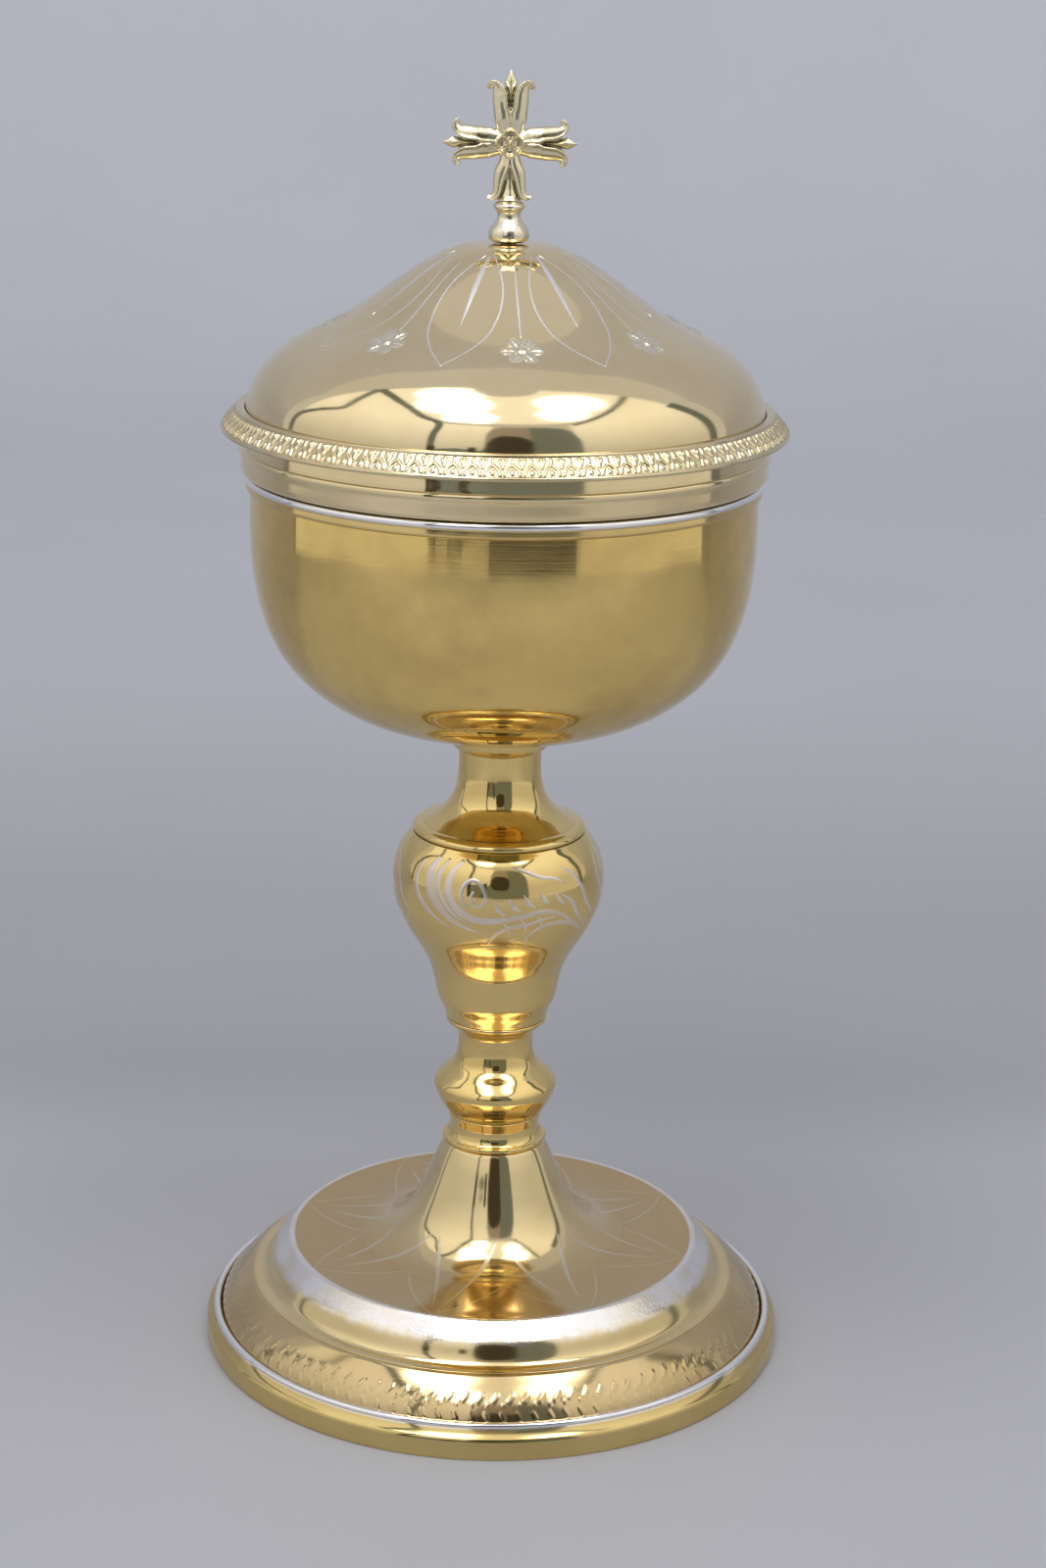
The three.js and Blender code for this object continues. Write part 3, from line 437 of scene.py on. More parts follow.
def frosted(m, place, z, radius, edges, shade, rough, normal):
    """Lays a silvery stippled band over the metal, with a ragged edge, and dulls the plate inside it."""
    height, inner = edges
    ragged = m.math("MULTIPLY", m.math("SUBTRACT", m.noise(place, *RAGGED_EDGE), 0.5), 3.2 * MM)
    above = m.ramp(m.math("ADD", z, ragged), (height - 0.5) * MM, (height + 1.3) * MM)
    beyond = m.ramp(radius, (inner - 0.2) * MM, (inner + 0.3) * MM)
    band = m.math("MULTIPLY", above, beyond, clamp=True)
    worn = m.ramp(m.noise(place, *WORN_PATCHES), 0.3, 0.6, 0.55, 0.95)
    plate = m.math("MULTIPLY", m.ramp(radius, 20 * MM, 30 * MM), m.math("SUBTRACT", 1.0, beyond))
    shade = m.mix(m.math("MULTIPLY", plate, DULL_SHARE), shade, DULL_PLATE)
    shade = m.mix(m.math("MULTIPLY", band, worn), shade, FROSTED_METAL)
    rough = m.math("ADD", rough, m.math("MULTIPLY", band, 0.10), clamp=True)
    strength = m.math("MULTIPLY", band, 0.45)
    return shade, rough, m.bump(m.noise(place, *STIPPLE), strength, STIPPLE_DEPTH, normal)


# Lines and outlines

TINY = 1e-9


def unit(vectors):
    return vectors / np.maximum(np.linalg.norm(vectors, axis=-1, keepdims=True), TINY)


def run_along(points):
    """How far along the line through these points each one lies."""
    return np.concatenate([[0], np.cumsum(np.linalg.norm(np.diff(points, axis=0), axis=1))])


SMOOTH_STEPS = 8  # between two points of a smooth outline
SPLINE_STEPS = 24  # between two points of a curve in space, before it is cut evenly


def passing(p0, p1, p2, p3, t):
    """A place between p1 and p2 on a smooth curve through all four points."""
    return 0.5 * (2 * p1 + (p2 - p0) * t + (2 * p0 - 5 * p1 + 4 * p2 - p3) * t * t
                  + (3 * p1 - p0 - 3 * p2 + p3) * t ** 3)


class Outline:
    """A line in the radius and height plane, in millimetres, sampled finely."""

    def __init__(self, r, z):
        self.points = [(r, z)]

    def line(self, r, z, count=6):
        r0, z0 = self.points[-1]
        for i in range(1, count + 1):
            t = i / count
            self.points.append((r0 + (r - r0) * t, z0 + (z - z0) * t))
        return self

    def quad(self, cr, cz, r, z, count=14):
        r0, z0 = self.points[-1]
        for i in range(1, count + 1):
            t = i / count
            a, b, c = (1 - t) ** 2, 2 * t * (1 - t), t * t
            self.points.append((a * r0 + b * cr + c * r, a * z0 + b * cz + c * z))
        return self

    def cubic(self, ar, az, br, bz, r, z, count=22):
        r0, z0 = self.points[-1]
        for i in range(1, count + 1):
            t = i / count
            a, b, c, d = (1 - t) ** 3, 3 * t * (1 - t) ** 2, 3 * t * t * (1 - t), t ** 3
            self.points.append((a * r0 + b * ar + c * br + d * r, a * z0 + b * az + c * bz + d * z))
        return self

    def arc(self, cr, cz, radius, start, end, count=14):
        for i in range(0, count + 1):
            angle = math.radians(start + (end - start) * i / count)
            self.points.append((cr + radius * math.cos(angle), cz + radius * math.sin(angle)))
        return self

    def smooth(self, curve):
        """Passes a smooth curve through these points."""
        known = np.array([self.points[-1], *curve], float)
        ghost = np.vstack([2 * known[0] - known[1], known, 2 * known[-1] - known[-2]])
        for i in range(1, len(ghost) - 2):
            for k in range(1, SMOOTH_STEPS + 1):
                self.points.append(tuple(passing(*ghost[i - 1 : i + 3], k / SMOOTH_STEPS)))
        return self


SAME_PLACE = 1e-4
ON_AXIS = 1e-5  # a smaller radius than this is none
NEARLY_STRAIGHT = -0.9  # the cosine of a corner that needs no softening
CORNER_SHARE = 0.45  # how much of each side a softened corner may use up
CORNER_REACH = 0.15  # how far a corner is softened, in millimetres
CORNER_STEPS = 5


def tidy(points):
    """Drops points that fall on their neighbour."""
    kept = [points[0]]
    for p in points[1:]:
        if math.dist(p, kept[-1]) > SAME_PLACE:
            kept.append(p)
    if math.dist(kept[0], kept[-1]) < SAME_PLACE and len(kept) > 2:
        kept.pop()
    return kept


def softened(points):
    """Cuts each sharp corner of a closed outline with a small arc, as polishing does."""
    pts = [np.array(p, float) for p in points]
    out = []
    for i, p in enumerate(pts):
        u, v = pts[i - 1] - p, pts[(i + 1) % len(pts)] - p
        lu, lv = np.linalg.norm(u), np.linalg.norm(v)
        cos = float(np.dot(u, v) / (lu * lv))
        if cos < NEARLY_STRAIGHT or p[0] < ON_AXIS:
            out.append(tuple(p))
            continue
        step = min(CORNER_REACH, lu * CORNER_SHARE, lv * CORNER_SHARE)
        start, end = p + u / lu * step, p + v / lv * step
        for t in np.linspace(0, 1, CORNER_STEPS):
            out.append(tuple((1 - t) ** 2 * start + 2 * t * (1 - t) * p + t * t * end))
    return out


def inner_line(points, wall):
    """The line one wall inside an open outline drawn upwards."""
    pts = np.array(points, float)
    along = unit(np.gradient(pts, axis=0))
    inner = pts + np.column_stack([-along[:, 1], along[:, 0]]) * wall
    inner[:, 0] = np.maximum(inner[:, 0], 0)
    return [tuple(p) for p in inner]


def shell(outline, wall, every):
    """A closed outline of sheet metal, with each point on the outside and fewer on the inside."""
    points = tidy(outline.points)
    inner = inner_line(points, wall)
    thin = inner[::every] if (len(inner) - 1) % every == 0 else inner[::every] + [inner[-1]]
    return points + thin[::-1]


# Meshes

COLUMNS = 288  # round most turned pieces
WIDE_COLUMNS = 360
KNOP_COLUMNS = 240
BALUSTER_COLUMNS = 96
SHARP_TURN = 35  # degrees between two faces that show an edge
SHARP_TURN_ON_CUTS = 60
CAST_SHARP_TURN = 180


def make_object(piece, vertices, faces, smooth_angle=SHARP_TURN):
    body, slot, metal = PIECES[piece]
    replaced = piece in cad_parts
    thing = new_object(piece + "_visual" if replaced else piece, vertices, faces)
    thing.data.materials.append(metals[metal])
    thing.data.set_sharp_from_angle(angle=math.radians(smooth_angle))
    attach(thing, body)
    if replaced:
        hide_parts(piece)
    return thing


def revolve(points, columns, relief=None):
    """Vertices and faces of a closed outline turned round the axis. relief(angle, run) gives how
    far a place stands out, in millimetres, with run measured along the outline from its start."""
    pts = np.array(points, float)
    rows = len(pts)
    on_axis = pts[:, 0] < ON_AXIS
    angles = np.arange(columns) / columns * TAU
    along = unit(np.roll(pts, -1, 0) - np.roll(pts, 1, 0))
    normal = np.column_stack([along[:, 1], -along[:, 0]])
    lift = np.zeros((columns, rows)) if relief is None else relief(angles[:, None], run_along(pts)[None])
    r, z = np.moveaxis(pts + lift[..., None] * normal, -1, 0)
    x, y = r * np.cos(angles)[:, None], r * np.sin(angles)[:, None]
    vertices = np.stack([x, y, z], -1).reshape(-1, 3) * MM
    index = np.arange(columns * rows).reshape(columns, rows)
    for row in np.where(on_axis)[0]:
        index[:, row] = index[0, row]
    faces = []
    for row in range(rows):
        above = (row + 1) % rows
        if on_axis[row] and on_axis[above]:
            continue
        a, d = index[:, row], index[:, above]
        b, c = np.roll(a, -1), np.roll(d, -1)
        loop = (a, c, d) if on_axis[row] else (a, b, c) if on_axis[above] else (a, b, c, d)
        faces += zip(*[corner.tolist() for corner in loop])
    used = sorted({i for face in faces for i in face})
    number = {old: new for new, old in enumerate(used)}
    return vertices[used], [tuple(number[i] for i in face) for face in faces]


def lathe(piece, points, columns=COLUMNS, relief=None):
    """A turned piece. With a relief its corners are left as they are drawn."""
    points = tidy(points)
    if relief is None:
        points = tidy(softened(points))
    make_object(piece, *revolve(points, columns, relief))


def stroke(x, y, start, end, half, rise, power):
    """Height of a rounded stroke between two places, over the plane of x and y."""
    (x0, y0), (x1, y1) = start, end
    dx, dy = x1 - x0, y1 - y0
    t = np.clip(((x - x0) * dx + (y - y0) * dy) / (dx * dx + dy * dy), 0, 1)
    apart = (x - x0 - t * dx) ** 2 + (y - y0 - t * dy) ** 2
    return rise * np.clip(1 - apart / half ** 2, 0, None) ** power


def repeated(strokes, repeats, radius, power=0.75):
    """A relief that sets the same strokes round the axis. A high power softens their edges."""
    pitch = TAU * radius / repeats

    def relief(angle, run):
        x = ((angle * repeats / TAU) % 1 - 0.5) * pitch
        height = np.zeros(np.broadcast(x, run).shape)
        for shift in (-pitch, 0, pitch):
            for start, end, half, rise in strokes:
                height = np.maximum(height, stroke(x + shift, run, start, end, half, rise, power))
        return height

    return relief


def capped_rings(rows, around):
    """The faces of a closed body whose vertices are rings in a row and then the tips of both ends."""
    first_tip, last_tip, last = rows * around, rows * around + 1, (rows - 1) * around
    faces = []
    for j in range(around):
        k = (j + 1) % around
        faces.append((first_tip, j, k))
        faces += [(i * around + j, (i + 1) * around + j, (i + 1) * around + k, i * around + k)
                  for i in range(rows - 1)]
        faces.append((last_tip, last + k, last + j))
    return faces


def joined(bodies):
    """The vertices and faces of several bodies as those of one."""
    faces, first = [], 0
    for vertices, body_faces in bodies:
        faces += [tuple(first + i for i in face) for face in body_faces]
        first += len(vertices)
    return np.vstack([vertices for vertices, _ in bodies]), faces


def flipped(faces):
    return [(face[0], *face[:0:-1]) for face in faces]


# Line work on turned surfaces

class Skin:
    """A turned surface that engraving is laid on. A place on it is an azimuth in degrees, 0 at the
    front and growing to the right, with a height on upright skins and a radius on flat ones."""

    def __init__(self, outline, upright):
        pts = np.array(outline, float)
        self.upright = upright
        self.pts = pts[np.argsort(pts[:, 1 if upright else 0])]
        self.known, self.found = (self.pts[:, 1], self.pts[:, 0]) if upright else self.pts.T
        self.slope = np.gradient(self.found, self.known)

    def at(self, places):
        azimuth, measure = np.radians([p[0] for p in places]), np.array([p[1] for p in places], float)
        r = np.interp(measure, self.known, self.found) if self.upright else measure
        z = measure if self.upright else np.interp(measure, self.known, self.found)
        return np.column_stack([r * np.sin(azimuth), -r * np.cos(azimuth), z])

    def snap(self, points):
        """The nearest places on the skin and the directions out of it."""
        r = np.maximum(np.hypot(points[:, 0], points[:, 1]), 1e-6)
        out = points[:, :2] / r[:, None]
        key = points[:, 2] if self.upright else r
        found, slope = np.interp(key, self.known, self.found), np.interp(key, self.known, self.slope)
        if self.upright:
            placed = np.column_stack([out * found[:, None], points[:, 2]])
            normal = np.column_stack([out, -slope])
        else:
            placed = np.column_stack([points[:, :2], found])
            normal = np.column_stack([-out * slope[:, None], np.ones(len(r))])
        return placed, unit(normal)


# The thin bodies of line work, in millimetres.
RIBBON_STEP = 0.4
EDGE_SINK = 0.02
RIBBON_ROOT = 0.15
RIBBON_TIP = 0.1
PETAL_ROOT = 0.2
PETAL_RINGS, PETAL_SIDES = 5, 20


class LineWork:
    """Gathers thin closed bodies that stand a hair proud of a skin."""

    def __init__(self, skin, lift=0.05):
        self.skin = skin
        self.lift = lift
        self.bodies = []

    def ribbon(self, places, halves, flat=0.0):
        """A band through these places. halves are its half widths, spread along it."""
        path, _ = self.skin.snap(spline(self.skin.at(places), RIBBON_STEP))
        path, normal = self.skin.snap(path)
        count = len(path)
        along = unit(np.gradient(path, axis=0))
        across = np.cross(normal, along)
        share = np.linspace(0, 1, count)
        half = np.interp(share, np.linspace(0, 1, len(halves)), halves)[:, None]
        left, n_left = self.skin.snap(path - across * half)
        right, n_right = self.skin.snap(path + across * half)
        lines = [left - n_left * EDGE_SINK]
        if flat:
            for side in (-flat, flat):
                top, n_top = self.skin.snap(path + across * half * side)
                lines.append(top + n_top * self.lift)
        else:
            lines.append(path + normal * self.lift)
        lines += [right - n_right * EDGE_SINK, path - normal * RIBBON_ROOT]
        rings = np.stack(lines, 1).reshape(-1, 3)
        tips = path[0] - along[0] * RIBBON_TIP, path[-1] + along[-1] * RIBBON_TIP
        self.bodies.append((np.vstack([rings, *tips]), capped_rings(count, len(lines))))

    def petal(self, place, turn, length, width, height, ribs=0):
        """A low rounded petal whose middle is at this place."""
        centre, normal = self.skin.snap(self.skin.at([place]))
        side = unit(np.cross(normal[0], (*centre[0][:2], 0.0)))
        up = np.cross(side, normal[0])
        c, s = math.cos(turn), math.sin(turn)
        u, v = up * c + side * s, side * c - up * s
        angle = np.arange(PETAL_SIDES) / PETAL_SIDES * TAU
        lines = []
        for i in range(1, PETAL_RINGS + 1):
            share = i / PETAL_RINGS
            flat = centre + np.outer(np.cos(angle) * share * length / 2, u)
            flat = flat + np.outer(np.sin(angle) * share * width / 2, v)
            placed, out_of = self.skin.snap(flat)
            rise = height * (1 - share ** 2.2)
            if ribs:
                rise = rise * (0.55 + 0.45 * np.cos(ribs * np.sin(angle) * share * math.pi)[:, None])
            lines.append(placed + out_of * (rise - EDGE_SINK * (i == PETAL_RINGS)))
        top, under = centre + normal * height, centre - normal * PETAL_ROOT
        self.bodies.append((np.vstack([*lines, top, under]), capped_rings(PETAL_RINGS, PETAL_SIDES)))

    def finish(self, piece):
        vertices, faces = joined(self.bodies)
        make_object(piece, vertices * MM, faces, SHARP_TURN_ON_CUTS)


def spline(points, step):
    """A smooth curve through the points, cut into about equal steps."""
    pts = np.vstack([2 * points[0] - points[1], points, 2 * points[-1] - points[-2]])
    t = (np.arange(SPLINE_STEPS) / SPLINE_STEPS)[:, None]
    fine = [passing(*pts[i - 1 : i + 3], t) for i in range(1, len(pts) - 2)]
    fine = np.vstack([*fine, pts[-2]])
    run = run_along(fine)
    even = np.linspace(0, run[-1], max(3, int(run[-1] / step) + 2))
    return np.column_stack([np.interp(even, run, fine[:, i]) for i in range(3)])


def beside(azimuth, along, across):
    """A place at this distance along a ray from the axis and this far to its side."""
    return azimuth + math.degrees(math.atan2(across, along)), math.hypot(along, across)


# The pieces

# Each metal's colour, its colour where it is stained, its roughness, and how strong its turning lines
# and its stains are.
METALS = {
    "yellow_gilt": ((0.82, 0.60, 0.22), (0.66, 0.46, 0.17), 0.035, 0.7, 0.75),
    "stem_gilt": ((0.82, 0.62, 0.26), (0.75, 0.52, 0.17), 0.06, 0.4, 0.4),
    "pale_gilt": ((0.86, 0.71, 0.43), (0.80, 0.62, 0.33), 0.06, 0.3, 0.5),
    "foot_border_gilt": ((0.64, 0.49, 0.26), (0.56, 0.41, 0.19), 0.10, 0.5, 0.7),
    "rim_gilt": ((0.68, 0.52, 0.22), (0.60, 0.43, 0.16), 0.085, 0.8, 0.6),
    "bead_gilt": ((0.80, 0.60, 0.26), (0.70, 0.50, 0.20), 0.10, 0.2, 0.6),
    "border_gilt": ((0.75, 0.64, 0.41), (0.64, 0.51, 0.28), 0.18, 0.2, 0.8),
    "silvery_gilt": ((0.88, 0.80, 0.62), (0.78, 0.68, 0.46), 0.15, 0.2, 0.6),
    "cast_gilt": ((0.84, 0.76, 0.54), (0.74, 0.62, 0.38), 0.16, 0.0, 0.6),
    "frosted_foot_gilt": ((0.80, 0.64, 0.35), (0.74, 0.56, 0.26), 0.09, 0.5, 0.6),
    "cut_lines": ((0.86, 0.82, 0.80), (0.80, 0.74, 0.70), 0.30, 0.1, 0.3),
    "faint_cuts": ((0.70, 0.60, 0.44), (0.62, 0.48, 0.28), 0.26, 0.1, 0.5),
    "matt_scroll": ((0.83, 0.75, 0.68), (0.78, 0.62, 0.40), 0.30, 0.1, 0.9),
    "plain_brass": ((0.60, 0.45, 0.18), (0.5, 0.36, 0.14), 0.34, 1.0, 0.8),
}
# Extra effects on some metals: worn gilding, a frosted band, and painted shade with patina in the cast's
# hollows.
SPECIAL_WEAR_AND_SHADE = {
    "rim_gilt": {"worn_above": 6.35},
    "bead_gilt": {"worn_above": 196.5},
    "cast_gilt": {"hollows": "hollow"},
    "frosted_foot_gilt": {"frost": (19.0, 44.9)},
}
metals = {name: gilt_material(name, *look, **SPECIAL_WEAR_AND_SHADE.get(name, {})) for name, look in METALS.items()}

# The body that each piece rides, its material slot and its metal. A piece that is named as a node of
# the frame takes that node's place.
PIECES = {
    "foot_base_ring": ("stand", "yellow_gold", "rim_gilt"),
    "foot_border": ("stand", "pale_gold", "foot_border_gilt"),
    "foot_shell": ("stand", "pale_gold", "frosted_foot_gilt"),
    "plate_engraving": ("stand", "pale_gold", "faint_cuts"),
    "knop_engraving": ("stand", "yellow_gold", "matt_scroll"),
    "cup": ("stand", "yellow_gold", "yellow_gilt"),
    "cup_bead": ("stand", "silvery_gold", "bead_gilt"),
    "lid_skirt": ("lid", "pale_gold", "pale_gilt"),
    "lid_border": ("lid", "silvery_gold", "border_gilt"),
    "lid_dome": ("lid", "pale_gold", "pale_gilt"),
    "dome_engraving": ("lid", "pale_gold", "cut_lines"),
    "dome_daisies": ("lid", "silvery_gold", "silvery_gilt"),
    "finial_baluster": ("lid", "silvery_gold", "silvery_gilt"),
    "finial_cross": ("lid", "silvery_gold", "cast_gilt"),
}
for name in ("lower_collar", "lower_knop", "knop_foot_ring", "knop", "knop_top_ring", "neck"):
    PIECES[name] = ("stand", "yellow_gold", "stem_gilt")

# Heights of the seams between the pieces, from the table up, in millimetres.
SEAM = 0.06
RING_TOP = 5.9
FOOT_TOP = 46.0
COLLAR_TOP = 52.94
LOWER_KNOP_TOP = 73.54
KNOP_FOOT_RING_TOP = 75.5
KNOP_TOP = 118.87
KNOP_TOP_RING_BOTTOM, KNOP_TOP_RING_TOP = 118.6, 120.84
NECK_BOTTOM, NECK_TOP = 120.86, 142.5
CUP_BOTTOM, CUP_LIP = 142.8, 205.8
CUP_BEAD_BOTTOM, CUP_BEAD_MIDDLE = 194.4, 197.0
SKIRT_BOTTOM, SKIRT_TOP = 198.2, 206.7
DOME_BOTTOM, DOME_TOP = 207.0, 245.75
BALUSTER_BOTTOM, BALUSTER_TOP = 246.0, 254.4
CROSS_MIDDLE = 266.1

# Radii and walls that several outlines share, in millimetres.
ROD_HOLE = 3.3
STUD_HOLE = 1.8
NECK_HOLE = 7.6
CUP_RADIUS = 53.8
SKIRT_INNER, SKIRT_OUTER = 54.5, 55.7
FOOT_WALL = 1.0
KNOP_WALL = 1.4
CUP_WALL = DOME_WALL = 0.9

LEAVES = 8  # engraved round the lid and round the foot's plate
DAISY_PETALS = 6
KNOP_SCROLLS = 3
LID_BORDER_REPEATS, LID_BORDER_COLUMNS, LID_BORDER_MIDDLE = 96, 24, 58
FOOT_BORDER_REPEATS, FOOT_BORDER_COLUMNS, FOOT_BORDER_MIDDLE = 112, 18, 57.5


def foot_base_ring():
    o = Outline(60.4, 0).line(64.7, 0).quad(65.05, 0.6, 64.95, 2.0, 8).line(64.85, 3.8, 4)
    o.quad(64.8, 4.6, 64.25, 5.0, 10).quad(63.5, 5.7, 63.0, 6.5, 12).line(62.85, 6.3, 2)
    o.arc(62.4, 6.8, 0.72, -30, 170).line(61.65, RING_TOP, 3).line(60.4, 5.6, 3).line(60.4, 0)
    lathe("foot_base_ring", o.points)


def foot_border():
    """Two rows of leaf tips and a row of small drops between plain edges."""
    outer = Outline(61.8, RING_TOP).quad(60.6, 9.9, 54.8, 14.4, 32).quad(54.3, 14.7, 53.0, 14.75, 5)
    strokes = [
        ((-0.45, 5.6), (0.4, 6.9), 0.74, 0.085),
        ((1.6, 4.7), (1.65, 5.0), 0.52, 0.06),
        ((1.75, 1.9), (1.2, 3.0), 0.62, 0.075),
    ]
    relief = repeated(strokes, FOOT_BORDER_REPEATS, FOOT_BORDER_MIDDLE, 1.4)
    lathe("foot_border", shell(outer, FOOT_WALL, 6), FOOT_BORDER_REPEATS * FOOT_BORDER_COLUMNS, relief)


# The line from the plate's rim over the plate and up the cone.
PLATE = [(45.2, 23.0), (40, 22.6), (33, 22.7), (27.5, 23.5), (23.6, 25.2), (20.6, 27.6), (18.2, 30.6),
         (16.2, 34.2), (14.4, 38.4), (12.7, 42.6), (11.4, 45.4)]
PLATE_RIM_RADIUS = 46
ENGRAVED_BELOW = 32


def foot_shell():
    o = Outline(54.2, 14.78).quad(53.6, 15.1, 52.3, 15.15, 8)
    o.cubic(50.7, 15.7, 50.4, 18.2, 49.2, 19.6, 18)
    o.line(46.5, 22.5, 12).quad(45.8, 23.3, *PLATE[0])
    o.smooth(PLATE[1:])
    engraved = [p for p in o.points if p[1] < ENGRAVED_BELOW and p[0] < PLATE_RIM_RADIUS]
    o.line(11.0, FOOT_TOP, 2).line(ROD_HOLE, FOOT_TOP, 3)
    lathe("foot_shell", shell(o, FOOT_WALL, 4), WIDE_COLUMNS)
    plate_engraving(Skin(engraved, False))


FIRST_PLATE_LEAF = 28.5


def plate_engraving(skin):
    """Eight pointed petals with two tapered cuts in each."""
    work = LineWork(skin, 0.03)
    edge = [(22.5, 29.0), (18, 31.6), (12.5, 35.4), (7.3, 39.2), (3, 42.4), (0, 44.6)]
    cut = [(19, 19.8), (12.5, 24), (7.2, 29), (4, 34), (1.8, 39)]
    for k in range(LEAVES):
        middle = FIRST_PLATE_LEAF + 360 / LEAVES * k
        for side in (-1, 1):
            work.ribbon([(middle + side * a, r) for a, r in edge], (0.1, 0.22, 0.24, 0.2, 0.1))
            work.ribbon([(middle + side * a, r) for a, r in cut], (0.3, 0.85, 0.7, 0.4, 0.05))
    work.finish("plate_engraving")


def lower_collar():
    bottom = FOOT_TOP + SEAM
    o = Outline(ROD_HOLE, bottom).line(11.4, bottom, 3).quad(11.8, 46.8, 11.5, 47.3)
    o.cubic(10.3, 47.6, 9.9, 49.0, 10.0, 50.5).line(10.5, COLLAR_TOP).line(ROD_HOLE, COLLAR_TOP, 2)
    lathe("lower_collar", o.points)


def lower_knop():
    bottom = COLLAR_TOP + SEAM
    o = Outline(ROD_HOLE, bottom).line(10.5, bottom, 3)
    o.smooth([(12.0, 55.2), (13.1, 57.4), (13.6, 59.4), (13.3, 60.6), (11.8, 62.4), (9.3, 64.9),
              (8.4, 67.5), (8.3, 70), (8.6, 72), (9.6, LOWER_KNOP_TOP)])
    lathe("lower_knop", o.line(ROD_HOLE, LOWER_KNOP_TOP, 2).points)


def knop_foot_ring():
    bottom, top = LOWER_KNOP_TOP + SEAM, KNOP_FOOT_RING_TOP
    o = Outline(ROD_HOLE, bottom).line(9.7, bottom, 2).quad(11.0, 74.2, 11.2, 75.0)
    lathe("knop_foot_ring", o.quad(11.2, top, 10.9, top).line(ROD_HOLE, top, 2).points)


def knop_top_ring():
    bottom, top, hole = KNOP_TOP_RING_BOTTOM, KNOP_TOP_RING_TOP, 13.5
    o = Outline(hole, bottom).line(18.3, bottom, 2).quad(19.25, 119.2, 18.7, 120.0, 10)
    o.quad(18.1, 120.8, 17.0, top, 10).line(hole, top, 2).line(hole, bottom, 2)
    lathe("knop_top_ring", o.points)


def neck():
    o = Outline(NECK_HOLE, NECK_BOTTOM).line(16.7, NECK_BOTTOM, 4)
    o.smooth([(15.6, 121.5), (13.0, 123.2), (10.75, 125.8), (9.6, 128.6), (9.15, 131.2), (9.0, 134),
              (9.05, 137.2)])
    o.line(10.0, 137.7, 3).quad(11.0, 138.6, 11.2, 140.2).line(11.3, NECK_TOP).line(NECK_HOLE, NECK_TOP, 3)
    lathe("neck", o.points)


def knop():
    o = Outline(11, KNOP_FOOT_RING_TOP + SEAM)
    o.smooth([(11.8, 77.8), (13, 80.5), (13.8, 84), (14.8, 87.9), (16.3, 91.1), (18.1, 94.1),
              (19.9, 97), (21.4, 100.1), (22.5, 103), (23.05, 106.5), (23.0, 110.5), (22.1, 114),
              (20.6, 116.7), (18.85, KNOP_TOP)])
    skin = Skin(o.points, True)
    lathe("knop", shell(o, KNOP_WALL, 4), KNOP_COLUMNS)
    work = LineWork(skin, 0.04)
    for k in range(KNOP_SCROLLS):
        knop_scroll(work, 360 // KNOP_SCROLLS * k)
    work.finish("knop_engraving")


# The bands of one scroll. Each is its places and its half widths, spread along it.
SCROLL = [
    ([(-37, 117.4), (-40.5, 114.6), (-40.3, 111.2), (-36, 108.2), (-29, 105.6), (-20, 103.4),
      (-9, 102.2)], (0.5, 1.0, 1.0, 0.7, 0.1)),
    ([(-47, 116.2), (-50, 113), (-48.5, 109.6), (-43, 106.6), (-35, 104.2), (-26, 102.4)],
     (0.3, 0.6, 0.7, 0.5, 0.1)),
    ([(-36.5, 117.3), (-37.8, 114.5), (-37, 111.4), (-33, 108.2), (-26, 105.6)],
     (0.3, 0.5, 0.5, 0.35, 0.1)),
    ([(-30, 117.2), (-34, 114.2), (-33.5, 111), (-28.5, 107.7), (-22, 105.4), (-14, 103.9)],
     (0.4, 0.7, 0.7, 0.5, 0.1)),
    ([(-21, 117.3), (-26, 115), (-27.4, 112.2), (-26, 109.5), (-22, 107.3), (-16, 105.7),
      (-7, 105), (3, 105.3), (13, 106), (23, 106.7), (33, 106.1), (43, 103.8), (56, 100.4)],
     (0.5, 1.0, 1.05, 0.9, 0.7, 0.65, 0.6, 0.45, 0.1)),
    ([(-14, 107.2), (-19.2, 109.2), (-18.9, 112), (-14.4, 113.7), (-9, 113), (-6.2, 110.6),
      (-8.2, 108.5), (-12, 108.4), (-14.4, 109.9), (-12.8, 111.4)],
     (0.1, 0.45, 0.55, 0.5, 0.4, 0.35, 0.3)),
    *[([(a, z), (a + 2.6, z - 1.8), (a + 6.5, z - 3.1)], (0.12, 0.62, 0.1))
      for a, z in ((-1.5, 109.4), (6.5, 110.1), (14.5, 110.8), (23.5, 111.2), (33, 110.6))],
    *[([(a, z + 2.2), (a + 2.5, z + 1.0), (a + 3.2, z - 0.6)], (0.1, 0.5, 0.1))
      for a, z in ((4, 102.2), (13, 102.9), (22, 103.6))],
    ([(-5, 99), (-1, 101.6), (6, 103.3), (16, 104), (25, 104.8), (33, 105.2)],
     (0.1, 0.5, 0.55, 0.4, 0.1)),
    ([(17, 98.6), (18, 101), (24, 102.8), (33, 103.6), (44, 102.7), (58, 99.9)],
     (0.1, 0.5, 0.6, 0.5, 0.1)),
    ([(37, 110), (44, 107.8), (49, 104.6), (58, 101.2)], (0.1, 0.5, 0.5, 0.1)),
    ([(39, 115.5), (46, 113.6), (52, 110.4), (57, 106.4), (66, 103)], (0.1, 0.55, 0.6, 0.4, 0.1)),
    ([(8, 116.6), (16, 115.6), (25, 114.2), (33, 113.6), (40, 112.2)], (0.1, 0.5, 0.5, 0.4, 0.1)),
]
BAND_FLAT = 0.7  # the share of a band's width that is flat on top


def knop_scroll(work, turn):
    """A volute with bands sweeping round it and a leafy branch running on from it."""
    for places, halves in SCROLL:
        work.ribbon([(azimuth + turn, z) for azimuth, z in places], halves, BAND_FLAT)


